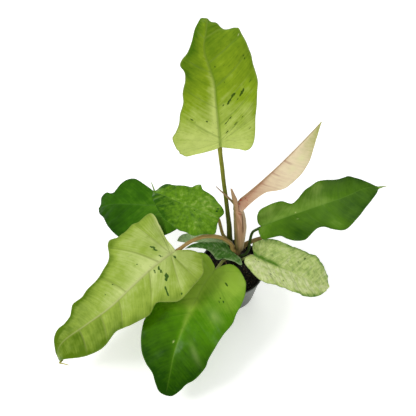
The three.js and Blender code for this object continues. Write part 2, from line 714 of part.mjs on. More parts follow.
addPiece('pot', potGeometry(), COLOUR.pot, 0.55);
addPiece('soil', soilGeometry(grownStem), COLOUR.soil, 0.95);
addPiece('stem', stemGeometry(0), COLOUR.stem, 0.7);
for (const stalk of STALKS) {
  addPiece(stalk.name, stalkGeometry(stalk, leaves.get(stalk.leaf), grownStem), stalk.colour, 0.5);
}
addPiece('stalk_2', newLeafStalkGeometry(), COLOUR.cream, 0.5);
for (const sheath of SHEATHS) {
  addPiece(sheath.name, sheathGeometry(sheath), COLOUR.sheath, 0.65);
}
for (const leaf of leaves.values()) {
  addPiece(leaf.name, leaf.geometry(), leaf.colour, 0.42);
}

export default plant;
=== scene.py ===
"""Potted snowdrift philodendron: lobed leaves on arching stalks, a folded new leaf and a nursery pot.

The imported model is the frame. Each leaf, stalk, sheath, the stem, the soil and the pot is built again
here from the same driving dimensions, finer, and gets its veins, its colours and its surface.
"""

from __future__ import annotations

import logging
import math
from dataclasses import dataclass
from enum import Enum

import bpy
import numpy as np
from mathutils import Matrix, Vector, noise

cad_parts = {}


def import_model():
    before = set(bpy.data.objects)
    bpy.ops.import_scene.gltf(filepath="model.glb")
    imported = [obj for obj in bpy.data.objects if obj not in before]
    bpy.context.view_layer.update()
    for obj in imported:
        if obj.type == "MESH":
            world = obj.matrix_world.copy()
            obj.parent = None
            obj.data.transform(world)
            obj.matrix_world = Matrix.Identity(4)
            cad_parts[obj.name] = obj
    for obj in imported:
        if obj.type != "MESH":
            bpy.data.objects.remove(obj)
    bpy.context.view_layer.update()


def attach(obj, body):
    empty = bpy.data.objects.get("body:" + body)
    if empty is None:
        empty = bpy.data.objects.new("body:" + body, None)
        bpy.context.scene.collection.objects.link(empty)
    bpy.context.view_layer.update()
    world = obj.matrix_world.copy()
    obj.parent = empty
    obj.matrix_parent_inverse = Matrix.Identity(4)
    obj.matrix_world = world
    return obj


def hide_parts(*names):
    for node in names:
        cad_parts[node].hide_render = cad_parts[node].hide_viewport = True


LOG = logging.getLogger("philodendron")
MM = 0.001
BODY = "root"
Point = tuple[float, float, float]
Pair = tuple[float, float]
Faces = list[tuple[int, ...]]
# Where a colour shows, how much of it shows there, and the colour
Layer = tuple[object, float, object]
# Steps in which the length of a flat curve and of a route is measured
CURVE_STEPS = 200
ROUTE_STEPS = 400
# Length over which the faint lines along a stalk change
STALK_GRAIN_MM = 30


class Half(Enum):
    """The two halves of a blade, seen from above with the tip up."""

    LEFT = 0
    RIGHT = 1


class Grain(Enum):
    """The kinds of grain that lie in potting mix."""

    CRUMB = "crumb"
    BARK = "bark"
    PERLITE = "perlite"


# Numbers and curves

def smoothstep(low: float, high: float, value: np.ndarray) -> np.ndarray:
    """An even S-shaped rise from 0 at low to 1 at high."""
    share = np.clip((np.asarray(value, float) - low) / (high - low), 0, 1)
    return share * share * (3 - 2 * share)


def hump(distance: np.ndarray, width: float | np.ndarray) -> np.ndarray:
    """A soft hump of height 1 over a distance of 0."""
    return np.exp(-(distance / width) ** 2)


def linear(hex_colour: str) -> tuple[float, float, float, float]:
    """Turns an sRGB hex value into Blender's linear colour.

    Args:
        hex_colour: Six hex digits.

    Returns:
        Red, green, blue and an alpha of 1.
    """
    channels = [int(hex_colour[i:i + 2], 16) / 255 for i in (0, 2, 4)]
    red, green, blue = (c / 12.92 if c <= 0.04045 else ((c + 0.055) / 1.055) ** 2.4 for c in channels)
    return (red, green, blue, 1.0)


def unit(vectors: np.ndarray) -> np.ndarray:
    """Vectors of length 1 in the same directions."""
    return vectors / np.maximum(np.linalg.norm(vectors, axis=-1, keepdims=True), 1e-12)


def around(count: int) -> np.ndarray:
    """Angles spread evenly round a circle, in radians."""
    return 2 * np.pi * np.arange(count) / count


def read_evenly(values: tuple[float, ...] | np.ndarray, share: np.ndarray) -> np.ndarray:
    """Reads, at places from 0 to 1, between values that are spread evenly over that stretch."""
    return np.interp(share, np.linspace(0, 1, len(values)), values)


def walked(points: np.ndarray) -> np.ndarray:
    """The distance walked along a line of points, at each of them."""
    return np.concatenate([[0], np.cumsum(np.linalg.norm(np.diff(points, axis=0), axis=1))])


def spline(knots: np.ndarray, share: np.ndarray) -> np.ndarray:
    """A smooth curve through flat knots, evenly shared out between them.

    Args:
        knots: The knots, one row each.
        share: Places along the curve from 0 to 1.

    Returns:
        One row for each place.
    """
    last = len(knots) - 1
    place = np.clip(share, 0, 1) * last
    lower = np.minimum(np.floor(place).astype(int), last)
    weight = (place - lower)[:, None]
    before, here, after, beyond = (knots[np.clip(lower + step, 0, last)] for step in (-1, 0, 1, 2))
    start = (after - before) / 2
    end = (beyond - here) / 2
    cubic = (2 * here - 2 * after + start + end) * weight ** 3
    square = (-3 * here + 3 * after - 2 * start - end) * weight ** 2
    return cubic + square + start * weight + here


def spaced(knots: np.ndarray, share: np.ndarray) -> np.ndarray:
    """Points on a smooth curve through flat knots, evenly spaced by length.

    Args:
        knots: The knots, one row each.
        share: Shares of the curve's length from 0 to 1.

    Returns:
        One row for each share.
    """
    ticks = np.linspace(0, 1, CURVE_STEPS + 1)
    lengths = walked(spline(knots, ticks))
    return spline(knots, np.interp(share * lengths[-1], lengths, ticks))


def route_points(knots: np.ndarray, share: np.ndarray) -> np.ndarray:
    """Points on a route through knots in space, which doesn't overshoot at uneven knots.

    Args:
        knots: The knots, one row each.
        share: Shares of the route's length from 0 to 1.

    Returns:
        One row for each share.
    """
    padded = np.vstack([2 * knots[0] - knots[1], knots, 2 * knots[-1] - knots[-2]])
    gaps = np.maximum(np.linalg.norm(np.diff(padded, axis=0), axis=1) ** 0.5, 1e-4)[:, None]
    place = np.linspace(0, 1, ROUTE_STEPS + 1) * (len(knots) - 1)
    lower = np.minimum(place.astype(int), len(knots) - 2)
    weight = (place - lower)[:, None]
    p0, p1, p2, p3 = (padded[lower + i] for i in range(4))
    d0, d1, d2 = (gaps[lower + i] for i in range(3))
    start = ((p1 - p0) / d0 - (p2 - p0) / (d0 + d1) + (p2 - p1) / d1) * d1
    end = ((p2 - p1) / d1 - (p3 - p1) / (d1 + d2) + (p3 - p2) / d2) * d1
    points = (2 * p1 - 2 * p2 + start + end) * weight ** 3
    points += (-3 * p1 + 3 * p2 - 2 * start - end) * weight ** 2 + start * weight + p1
    lengths = walked(points)
    return np.stack([np.interp(share * lengths[-1], lengths, row) for row in points.T], axis=1)


# Faces between points

def ring(radius: float | np.ndarray, height: float | np.ndarray, angle: np.ndarray) -> np.ndarray:
    """A ring of points round the upright axis, one row for each angle."""
    return np.stack([radius * np.cos(angle), radius * np.sin(angle), height + 0 * angle], axis=1)


def ring_faces(rings: int, sides: int, first: int = 0) -> Faces:
    """Faces between rings of points, turning outwards where the rings climb.

    Args:
        rings: How many rings there are.
        sides: Points in a ring.
        first: The ring that the faces start from.

    Returns:
        The faces, ring by ring.
    """
    faces: Faces = []
    for start in range(first * sides, (rings - 1) * sides, sides):
        for i in range(sides):
            a, b = start + i, start + (i + 1) % sides
            faces.append((a, b, b + sides, a + sides))
    return faces


def closed_faces(rings: int, sides: int) -> Faces:
    """Faces between rings, closed at both ends by fans to the two points that follow the rings.

    Args:
        rings: How many rings there are.
        sides: Points in a ring.

    Returns:
        The faces.
    """
    foot, last = rings * sides, (rings - 1) * sides
    faces = ring_faces(rings, sides)
    for i in range(sides):
        j = (i + 1) % sides
        faces += [(foot, j, i), (foot + 1, last + i, last + j)]
    return faces


def closed_sheet(faces: Faces, count: int) -> Faces:
    """Closes a sheet of two like skins, where the points of the second follow those of the first.

    Args:
        faces: The faces of the first skin.
        count: Points in a skin.

    Returns:
        The faces of both skins and of the rim between them.
    """
    edges = {(a, b) for face in faces for a, b in zip(face, face[1:] + face[:1])}
    rim = [(b, a, a + count, b + count) for a, b in sorted(edges) if (b, a) not in edges]
    return faces + [tuple(i + count for i in reversed(face)) for face in faces] + rim


# Pieces and the calls to the frame

def make_piece(
    name: str,
    points: np.ndarray,
    faces: Faces,
    material: bpy.types.Material,
    attributes: dict[str, np.ndarray] | None = None,
    sharp_degrees: float = 60,
) -> bpy.types.Object:
    """Makes one object from points in millimetres.

    Args:
        name: The piece's name.
        points: One row for each vertex.
        faces: Vertex numbers of each face, turning outwards.
        material: What the piece wears.
        attributes: Values for each vertex that the material reads, by name.
        sharp_degrees: Edges bent further than this stay sharp.

    Returns:
        The new object, linked to the scene.
    """
    mesh = bpy.data.meshes.new(name)
    mesh.from_pydata((points * MM).tolist(), [], faces)
    for label, values in (attributes or {}).items():
        kind, key = ("FLOAT", "value") if values.ndim == 1 else ("FLOAT_VECTOR", "vector")
        layer = mesh.attributes.new(label, kind, "POINT")
        layer.data.foreach_set(key, values.astype(np.float32).ravel())
    mesh.materials.append(material)
    mesh.polygons.foreach_set("use_smooth", [True] * len(mesh.polygons))
    mesh.set_sharp_from_angle(angle=math.radians(sharp_degrees))
    return link_mesh(name, mesh)


def link_mesh(name: str, mesh: bpy.types.Mesh) -> bpy.types.Object:
    """Gives a mesh its object in the scene."""
    piece = bpy.data.objects.new(name, mesh)
    bpy.context.scene.collection.objects.link(piece)
    return piece


def plain_copy(source: bpy.types.Object, name: str) -> bpy.types.Object:
    """Turns an object's finished shape into a plain mesh and removes the object.

    Args:
        source: The object with live modifiers.
        name: The new object's name.

    Returns:
        The new object, without modifiers.
    """
    mesh = bpy.data.meshes.new_from_object(source.evaluated_get(bpy.context.evaluated_depsgraph_get()))
    mesh.name = name
    bpy.data.objects.remove(source)
    return link_mesh(name, mesh)


def stand_in_for(piece: bpy.types.Object, node: str | None, slot: str) -> None:
    """Tells the frame what a finished piece is.

    Args:
        piece: The finished object.
        node: The node that it stands for, if it does.
        slot: The record's material slot.
    """
    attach(piece, BODY)
    if node:
        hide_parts(node)
    LOG.info("%s: %d faces, slot %s", piece.name, len(piece.data.polygons), slot)


# Steps in making a material

def add_node(
    tree: bpy.types.NodeTree, kind: str, inputs: dict[str | int, object] | None = None, **settings: object
) -> bpy.types.Node:
    """Adds a node with its settings, values and links.

    Args:
        tree: The tree that the node joins.
        kind: Blender's name for the node.
        inputs: By the input's name or number, a socket to link from, a node whose first output is
            linked, the label of what the vertices carry, or a plain value.
        **settings: The node's own settings.

    Returns:
        The new node.
    """
    node = tree.nodes.new(kind)
    for label, value in settings.items():
        setattr(node, label, value)
    for label, value in (inputs or {}).items():
        if isinstance(value, str):
            value = add_node(tree, "ShaderNodeAttribute", attribute_name=value).outputs["Fac"]
        elif isinstance(value, bpy.types.Node):
            value = value.outputs[0]
        if isinstance(value, bpy.types.NodeSocket):
            tree.links.new(value, node.inputs[label])
        else:
            node.inputs[label].default_value = value
    return node


def start_material(name: str) -> tuple[bpy.types.Material, bpy.types.NodeTree]:
    """A new material with an empty tree, and the tree."""
    material = bpy.data.materials.new(name)
    material.use_nodes = True
    material.node_tree.nodes.clear()
    return material, material.node_tree


def vary(
    tree: bpy.types.NodeTree, value: object, pattern: object, strength: float, where: object = 1.0
) -> bpy.types.Node:
    """Moves a value up and down with a pattern.

    Args:
        tree: The tree to work in.
        value: The value to move.
        pattern: What moves it: not at all at 0.5, furthest at 0 and 1.
        strength: How far it moves at the most.
        where: The share of that at each place.

    Returns:
        The moved value.
    """
    centred = add_node(tree, "ShaderNodeMath", {0: pattern, 1: 0.5}, operation="SUBTRACT")
    reach = add_node(tree, "ShaderNodeMath", {0: where, 1: 2 * strength}, operation="MULTIPLY")
    return add_node(tree, "ShaderNodeMath", {0: centred, 1: reach, 2: value}, operation="MULTIPLY_ADD")


def lay_over(tree: bpy.types.NodeTree, colour: object, layers: tuple[Layer, ...]) -> bpy.types.NodeSocket:
    """Lays colours over a colour.

    Args:
        tree: The tree to work in.
        colour: The colour below, a socket or a value.
        layers: For each layer where it shows, how much of it shows there, and its colour.

    Returns:
        The top colour.
    """
    for where, amount, over in layers:
        share = add_node(tree, "ShaderNodeMath", {0: where, 1: amount}, operation="MULTIPLY")
        over = linear(over) if isinstance(over, str) else over
        colour = add_node(tree, "ShaderNodeMix", {0: share, 6: colour, 7: over}, data_type="RGBA").outputs[2]
    return colour


def graded(
    tree: bpy.types.NodeTree, value: object, stops: tuple[tuple[float, str], ...]
) -> bpy.types.NodeSocket:
    """Colours that run into each other as a value grows.

    Args:
        tree: The tree to work in.
        value: The value that they follow.
        stops: Values and their hex colours, in order.

    Returns:
        The colour.
    """
    colour = linear(stops[0][1])
    for (low, _), (high, over) in zip(stops, stops[1:]):
        share = add_node(tree, "ShaderNodeMapRange", {"Value": value, "From Min": low, "From Max": high})
        colour = lay_over(tree, colour, ((share, 1, over),))
    return colour


def finish_surface(
    tree: bpy.types.NodeTree,
    colour: object,
    values: dict[str, float],
    height: bpy.types.Node,
    strength: float,
    depth_mm: float,
) -> None:
    """Ends a material with its relief and its shader.

    Args:
        tree: The tree to work in.
        colour: The surface's colour.
        values: The shader's plain values, by the names of its sockets.
        height: The relief's height, from 0 to 1.
        strength: How strongly the light follows it.
        depth_mm: How deep it is. With 0 the surface has no relief.
    """
    inputs = {"Base Color": colour, **values}
    if depth_mm:
        relief = {"Height": height, "Strength": strength, "Distance": depth_mm * MM}
        inputs["Normal"] = add_node(tree, "ShaderNodeBump", relief)
    shader = add_node(tree, "ShaderNodeBsdfPrincipled", inputs)
    add_node(tree, "ShaderNodeOutputMaterial", {"Surface": shader})


# Finishes

@dataclass(frozen=True)
class LeafFinish:
    """Smooth leathery leaf: a waxy skin over tissue that is paler where it holds less green.

    The streaks run out along the veins. freckle is how strongly short dark dashes show, and tear_mm is the
    size of the notches in a fleck's edge. On some leaves the tone and the specks also carry painted
    highlights, painted sheen and painted shade, and the fine line in the creases is mostly painted shade.
    """

    name: str
    dark: str
    middle: str
    light: str
    vein: str
    rib: str
    fleck: str
    under: str
    rim: str
    vein_line_and_crease_shade: str
    speck_and_sheen: str = "E4ECA0"
    streak: float = 0.25
    freckle: float = 0.0
    mottle: float = 0.2
    mottle_mm: float = 14.0
    tear_mm: float = 2.4
    dash_scale: Point = (2.2, 5.0, 1.0)
    vein_show: float = 0.18
    crease_show: float = 0.3
    rib_show: float = 0.7
    rim_show: float = 0.7
    fleck_show: float = 0.92
    rib_show_below: float = 0.6
    roughness: float = 0.4
    gloss: float = 0.1

    def material(self) -> bpy.types.Material:
        """Builds the finish from the values that each leaf's mesh carries."""
        material, tree = start_material(self.name)
        grain = add_node(tree, "ShaderNodeAttribute", attribute_name="grain").outputs["Vector"]
        place = add_node(tree, "ShaderNodeTexCoord").outputs["Object"]
        dash = add_node(tree, "ShaderNodeMapping", {"Vector": grain, "Scale": self.dash_scale})
        patterns = (
            {"Vector": grain, "Scale": 1.0, "Detail": 3.0, "Roughness": 0.6},
            {"Vector": place, "Scale": 1 / (self.mottle_mm * MM), "Detail": 2.0, "Roughness": 0.55},
            {"Vector": place, "Scale": 1 / (self.tear_mm * MM), "Detail": 2.0, "Roughness": 0.6},
            {"Vector": dash, "Scale": 1.0, "Detail": 1.0},
        )
        streaks, patches, torn, dashes = (add_node(tree, "ShaderNodeTexNoise", values) for values in patterns)
        tone = vary(tree, vary(tree, "tone", streaks, self.streak, "flow"), patches, self.mottle)
        colour = graded(tree, tone, ((0.05, self.dark), (0.5, self.middle), (0.95, self.light)))
        freckle = add_node(tree, "ShaderNodeMapRange", {"Value": dashes, "From Min": 0.36, "From Max": 0.28})
        ragged = {"Value": vary(tree, "fleck", torn, 1.2, "fleck"), "From Min": 0.26, "From Max": 0.46}
        fleck = add_node(tree, "ShaderNodeMapRange", ragged, interpolation_type="SMOOTHSTEP")
        below = lay_over(tree, linear(self.under), (("rib", self.rib_show_below, self.rib),))
        colour = lay_over(tree, colour, (
            ("vein", self.vein_show, self.vein),
            ("rib", self.rib_show, self.rib),
            ("rim", self.rim_show, self.rim),
            (freckle, self.freckle, self.fleck),
            # a fine line in the creases: vein colour on leaf_2, painted shade in the grooves on the other
            # leaves
            ("vein_line_and_crease_shade", self.crease_show, self.vein_line_and_crease_shade),
            (fleck, self.fleck_show, self.fleck),
            # pale specks, and on leaf_2 and leaf_5 painted highlights and painted sheen
            ("speck_and_sheen", 1, self.speck_and_sheen),
            ("under", 1, below),
        ))
        values = {"Roughness": self.roughness, "IOR": 1.45, "Specular IOR Level": self.gloss}
        finish_surface(tree, colour, values, streaks, strength=0.25, depth_mm=0.4)
        return material


@dataclass(frozen=True)
class StalkFinish:
    """Leaf stalk skin: smooth and fleshy, with faint lines along it."""

    name: str
    foot: str
    middle: str
    top: str
    roughness: float = 0.45
    lines: float = 0.22

    def material(self) -> bpy.types.Material:
        """Builds the finish, which changes from foot to top."""
        material, tree = start_material(self.name)
        grain = add_node(tree, "ShaderNodeAttribute", attribute_name="grain").outputs["Vector"]
        lines = add_node(tree, "ShaderNodeTexNoise", {"Vector": grain, "Scale": 3.0, "Detail": 3.0})
        colour = graded(tree, "along", ((0.0, self.foot), (0.5, self.middle), (1.0, self.top)))
        spread = {"From Min": 0.3, "From Max": 0.7, "To Min": 1 - self.lines, "To Max": 1 + self.lines}
        shade = add_node(tree, "ShaderNodeMapRange", {"Value": lines, **spread})
        shaded = add_node(tree, "ShaderNodeVectorMath", {0: colour, "Scale": shade}, operation="SCALE")
        values = {"Roughness": self.roughness, "Specular IOR Level": 0.15}
        finish_surface(tree, shaded, values, lines, strength=0.3, depth_mm=0.3)
        return material


@dataclass(frozen=True)
class SheathFinish:
    """Papery leaf sheath: drying pinkish skin in long streaks, olive at its foot and brown at its edges."""

    name: str = "papery dried sheath"
    streak_dark: str = "94704C"
    streak_middle: str = "BA9070"
    streak_light: str = "D6B090"
    foot: str = "7E7440"
    base: str = "4E4622"
    side: str = "6C6A30"
    painted_side_highlight: str = "D2C2A2"
    edge: str = "4A3412"
    point: str = "A88A66"
    blush: str = "9A2A18"
    foot_range: Pair = (0.4, 0.05)
    base_range: Pair = (0.15, 0.04)
    point_range: Pair = (0.7, 0.9)

    def material(self) -> bpy.types.Material:
        """Builds the finish, with streaks a few millimetres apart that run up the sheath."""
        material, tree = start_material(self.name)
        grain = add_node(tree, "ShaderNodeAttribute", attribute_name="grain").outputs["Vector"]
        streaks = add_node(
            tree, "ShaderNodeTexNoise", {"Vector": grain, "Scale": 1.3, "Detail": 3.0, "Roughness": 0.6})
        low, clasped, high = (
            add_node(tree, "ShaderNodeMapRange", {"Value": "along", "From Min": start, "From Max": end})
            for start, end in (self.foot_range, self.base_range, self.point_range)
        )
        colour = graded(
            tree, streaks, ((0.3, self.streak_dark), (0.5, self.streak_middle), (0.7, self.streak_light)))
        colour = lay_over(tree, colour, (
            (low, 0.75, self.foot),
            ("olive", 0.85, self.side),
            # a painted highlight on the side that faces +X
            ("pale", 0.6, self.painted_side_highlight),
            (clasped, 0.85, self.base),
            (high, 0.8, self.point),
            # brown along the dried edges, and painted shade along the slit where the sheath gapes
            ("edge", 1, self.edge),
            ("blush", 1, self.blush),
        ))
        values = {"Roughness": 0.55, "Specular IOR Level": 0.15}
        finish_surface(tree, colour, values, streaks, strength=0.3, depth_mm=0.3)
        return material


@dataclass(frozen=True)
class PlainFinish:
    """A matt natural or moulded surface in two colours, patchy at one real size."""

    name: str
    dark: str
    light: str
    patch_mm: float
    roughness: float
    relief_mm: float = 0.0

    def material(self) -> bpy.types.Material:
        """Builds the finish on the object's own coordinates."""
        material, tree = start_material(self.name)
        place = add_node(tree, "ShaderNodeTexCoord").outputs["Object"]
        patches = add_node(
            tree, "ShaderNodeTexNoise", {"Vector": place, "Scale": 1 / (self.patch_mm * MM), "Detail": 4.0})
        colour = graded(tree, patches, ((0.32, self.dark), (0.68, self.light)))
        values = {"Roughness": self.roughness}
        finish_surface(tree, colour, values, patches, strength=0.6, depth_mm=self.relief_mm)
        return material


@dataclass(frozen=True)
class PotFinish:
    """Moulded polypropylene, grey-green outside and black inside, slightly scuffed."""

    name: str = "moulded polypropylene"
    outside: str = "5A5E58"
    scuffed: str = "6A6E68"
    inside: str = "0D0D0C"
    scuff_scale: Point = (60, 60, 600)

    def material(self) -> bpy.types.Material:
        """Builds the finish: the mould's soft sheen, with long faint scuffs round the wall."""
        material, tree = start_material(self.name)
        place = add_node(tree, "ShaderNodeTexCoord").outputs["Object"]
        stretched = add_node(tree, "ShaderNodeMapping", {"Vector": place, "Scale": self.scuff_scale})
        scuffs = add_node(tree, "ShaderNodeTexNoise", {"Vector": stretched, "Scale": 1.0, "Detail": 3.0})
        colour = graded(tree, scuffs, ((0.4, self.outside), (0.75, self.scuffed)))
        colour = lay_over(tree, colour, (("inside", 1, self.inside),))
        values = {"Roughness": 0.5, "IOR": 1.49}
        finish_surface(tree, colour, values, scuffs, strength=0.15, depth_mm=0.1)
        return material


# Leaf blades

CARRIED = ("tone", "vein", "vein_line_and_crease_shade", "rib", "rim", "flow", "fleck", "speck_and_sheen", "grain")


@dataclass(frozen=True)
class Places:
    """Places on one half of a flat blade.

    across and along are millimetres, station is the share of the margin's length at which the place's
    vein ends, and out is the share of the way from the midrib to the margin.
    """

    half: Half
    across: np.ndarray
    along: np.ndarray
    station: np.ndarray
    out: np.ndarray


@dataclass(frozen=True)
class Spot:
    """A place on a blade that differs from what is round it.

    across and along are millimetres on the flat blade, reach is how far it spreads, and stretch is
    how much longer it is along the vein than across it. slant is the vein's slope there, in degrees.
    """

    across: float
    along: float
    reach: float
    amount: float = 1.0
    stretch: float = 1.0
    slant: float = 37.0

    def share_at(self, places: Places) -> np.ndarray:
        """How much of the spot there is at each place, from 0 to its amount."""
        slant = math.radians(self.slant if self.across > 0 else 180 - self.slant)
        right, ahead = places.across - self.across, places.along - self.along
        lengthwise = (right * math.cos(slant) + ahead * math.sin(slant)) / self.stretch
        crosswise = -right * math.sin(slant) + ahead * math.cos(slant)
        return self.amount * hump(np.hypot(lengthwise, crosswise), self.reach)


@dataclass(frozen=True)
class EdgeBand:
    """A stretch of margin that is paler or darker than the blade.

    start and end are shares of the margin's length, inner is how far out the band starts, tone is what
    it adds, and soft and soft_inner are how gradually it ends along the margin and inwards.
    """

    half: Half
    start: float
    end: float
    inner: float
    tone: float
    soft: float = 0.04
    soft_inner: float = 0.1

    def tone_at(self, places: Places) -> np.ndarray:
        """What the band adds to the tone at each place."""
        if self.half is not places.half:
            return np.zeros_like(places.out)
        begun = smoothstep(self.start - self.soft, self.start + self.soft, places.station)
        ended = smoothstep(self.end - self.soft, self.end + self.soft, places.station)
        inwards = smoothstep(self.inner - self.soft_inner, self.inner + self.soft_inner, places.out)
        return self.tone * begun * (1 - ended) * inwards


@dataclass
class LeafBlade:
    """One leaf blade. It grows from its joint along a midrib, with the part's own dimensions.

    The shape fields are the part's, and where a field has a value for each half, the left one is first.
    creases are the shares of the margin's length where a main vein ends. tones say how pale the blade is
    at shares of its length, from 0 for the finish's dark colour to 1 for its light. One row of either
    serves both halves. swell is how far the blade puffs up between two creases. rib_until is the share of
    the length at which the midrib's colour ends, and vein_reach the share of the half's width at which the
    veins do. fan_show is how strongly the veins of the lobes show, and panel how far the tone steps from one
    side of a vein to the other. wave is a height, the width at which it is reached, how many waves there are
    and where each half's first one starts. crinkle is a height and how many crinkles there are. crease_line
    and rib_line are how far a fine line lies beside a vein or the midrib and how wide it is, and groove is
    the width and the depth of the channel over the midrib.
    """

    name: str
    slot: str
    finish: LeafFinish
    joint: Point
    heading: float
    sweep: float
    length: float
    rise: Point
    bend: Pair
    fold: Pair
    cup: Pair
    hub: float
    stations: int
    wave: tuple[float, float, float, float, float]
    right: tuple[Pair, ...]
    left: tuple[Pair, ...]
    creases: tuple[tuple[float, ...], ...]
    tones: tuple[tuple[Pair, ...], ...]
    rib_radius: float
    swell: float
    pucker: float
    pucker_mm: float = 16.0
    turn: float = 0
    droop: Pair = (0, 0)
    notch: float = 0
    back: float = 0
    behind_mm: int = 90
    drift: tuple[float, ...] = (0, 0)
    crease_width: float = 1.0
    crease_line: Pair = (0.5, 0.6)
    fan_show: float = 0.4
    panel: Pair = (0, 0)
    full_panel: float = 0.06
    bands: tuple[EdgeBand, ...] = ()
    edge_tone: float = -0.1
    rib_spread: float = 12.0
    rib_tone: Pair = (0.1, 0.1)
    rib_lines: Pair = (0, 0)
    rib_line: Pair = (1.5, 0.7)
    rib_until: float = 2.5
    groove: Pair = (1.6, 0.45)
    patches: tuple[Spot, ...] = ()
    flecks: tuple[Spot, ...] = ()
    specks_and_sheen: tuple[Spot, ...] = ()
    bumps: tuple[Spot, ...] = ()
    crinkle: Pair = (0.4, 9.0)
    vein_power: float = 1.0
    vein_reach: float = 1.0
    vein_bow: float = 0.05
    streak_mm: float = 3.2
    thickness: float = 0.8
    rim_thickness: float = 0.5
    rows: int = 30
    row_power: float = 1.25
    finer: int = 6

    def __post_init__(self) -> None:
        """Walks the midrib once, ahead of the joint and behind it, and measures the lobes."""
        ahead = self._walk(int(math.ceil(self.length)) + 2, 1.0)
        behind = self._walk(self.behind_mm, -1.0)
        self.spine_along = np.arange(-self.behind_mm, len(ahead))
        self.spine = np.vstack([behind[:0:-1], ahead])
        self.lobes = self._lobe_share()
        self.margin_length: dict[Half, float] = {}

    def _walk(self, count: int, step: float) -> np.ndarray:
        """Points along the midrib at whole steps from the joint."""
        forward = self.frame_at((np.arange(count) + 0.5) * step)[0]
        return np.vstack([self.joint, np.asarray(self.joint) + np.cumsum(forward * step, axis=0)])

    def _lobe_share(self) -> float:
        """The share of the margin whose veins all leave the midrib at the hub."""
        edges = [spaced(self.outline(half), np.linspace(0, 1, self.stations + 1)) for half in Half]
        starts = [int(np.argmax(edge[:, 1] - 0.7 * np.abs(edge[:, 0]) > self.hub)) for edge in edges]
        return max(starts) / self.stations

    def frame_at(self, along: np.ndarray) -> tuple[np.ndarray, np.ndarray, np.ndarray]:
        """The blade's directions at distances along the midrib.

        Args:
            along: Millimetres from the joint.

        Returns:
            Forward, side and up, one row each.
        """
        share = along / self.length
        low, high = self.bend
        heading = np.radians(
            self.heading + self.sweep * share + self.turn * smoothstep(low - 0.15, high, share))
        base, middle, tip = self.rise
        ahead = base + (middle - base) * np.minimum(share, 1) + (tip - middle) * smoothstep(low, high, share)
        slope = np.radians(np.where(along < 0, base - self.back * along / 100, ahead))
        flat = np.cos(slope)
        forward = np.stack([flat * np.cos(heading), flat * np.sin(heading), np.sin(slope)], axis=-1)
        side = np.stack([np.sin(heading), -np.cos(heading), np.zeros_like(heading)], axis=-1)
        return forward, side, np.cross(side, forward)

    def midrib_at(self, along: np.ndarray) -> np.ndarray:
        """Points on the midrib's line in space, before its drift across the blade."""
        return np.stack([np.interp(along, self.spine_along, row) for row in self.spine.T], axis=1)

    def drift_at(self, along: np.ndarray) -> np.ndarray:
        """How far across the flat blade the midrib lies."""
        return spline(np.array(self.drift, float)[:, None], along / self.length)[:, 0]

    def outline(self, half: Half) -> np.ndarray:
        """The margin's knots from the notch to the tip."""
        points = self.right if half is Half.RIGHT else self.left
        return np.array([(self.drift[0], self.notch), *points, (self.drift[-1], self.length)], float)

    def surface(self, places: Places) -> np.ndarray:
        """The middle of the blade in space.

        Args:
            places: The flat places.

        Returns:
            One row for each place.
        """
        number, along = places.half.value, places.along
        _, side, up = self.frame_at(along)
        drift = self.drift_at(along)
        offset = places.across - drift
        offset = np.minimum(offset, 0) if places.half is Half.LEFT else np.maximum(offset, 0)
        reach = np.abs(offset)
        drooping = smoothstep(self.bend[0] - 0.1, self.bend[1], along / self.length)
        fold = np.radians(self.fold[number] + self.droop[number] * drooping)
        height, wide, count, *phases = self.wave
        ripple = height * (reach / wide) ** 2 * np.sin(2 * np.pi * (count * places.station + phases[number]))
        lift = reach * np.sin(fold) - self.cup[number] * reach ** 2 / 1000 + ripple
        return self.midrib_at(along) + side * (drift + offset * np.cos(fold))[:, None] + up * lift[:, None]

    def main_veins(self, places: Places) -> tuple[np.ndarray, ...]:
        """The relief of the main veins.

        Args:
            places: The flat places.

        Returns:
            Millimetres of lift, how much of the surface is vein and how much is the fine line in it from
            0 to 1, and what the panel between two veins adds to the tone.
        """
        number, station, out = places.half.value, places.station, places.out
        marks = np.array([0, *self.creases[number % len(self.creases)], 1])
        upper = np.clip(np.searchsorted(marks, station, side="right"), 1, len(marks) - 1)
        width = marks[upper] - marks[upper - 1]
        share = np.clip((station - marks[upper - 1]) / width, 0, 1)
        puff = np.sin(np.pi * share) ** 0.8 * np.minimum(width / self.full_panel, 1.4)
        body = np.clip(out * 3, 0, 1) * (1 - 0.45 * out)
        nearest = np.min(np.abs(station[:, None] - marks[None, 1:-1]), axis=1)
        at_rib = np.where(station < self.lobes, 0, (self.length - self.hub) / (1 - self.lobes))
        distance = nearest * (self.margin_length[places.half] * out + at_rib * (1 - out))
        fade = 1 - smoothstep(0.5 * self.vein_reach, self.vein_reach, out) * 0.85
        fade = fade * np.where(station < self.lobes, self.fan_show, 1)
        beside, line_width = self.crease_line
        steady = (0.5 - share) * (1 - 0.6 * out) * np.clip(out * 6, 0, 1) * (upper > 1)
        return (
            self.swell * (puff - 0.5) * body, hump(distance, self.crease_width) * fade,
            hump(distance - beside, line_width) * fade, self.panel[number] * steady)

    def puckers(self, places: Places) -> np.ndarray:
        """The blade's uneven hollows and blisters, in millimetres, the same on each run."""
        seed = float(sum(map(ord, self.name)))
        heights = [
            noise.noise(Vector((x, y, seed))) + 0.45 * noise.noise(Vector((2.3 * x, 2.3 * y, seed + 7)))
            for x, y in zip(places.across / self.pucker_mm, places.along / self.pucker_mm)
        ]
        return self.pucker * np.array(heights) * np.clip(places.out * 5, 0, 1)

    def crinkles(self, places: Places) -> np.ndarray:
        """The small uneven waves towards the margin, in millimetres."""
        height, count = self.crinkle
        uneven = np.sin(2 * np.pi * (count * places.station + 0.4 * np.sin(14 * places.station)))
        calm_edge = 1 - 0.7 * smoothstep(0.9, 1, places.out)
        return height * uneven * smoothstep(0.35, 0.8, places.out) * calm_edge

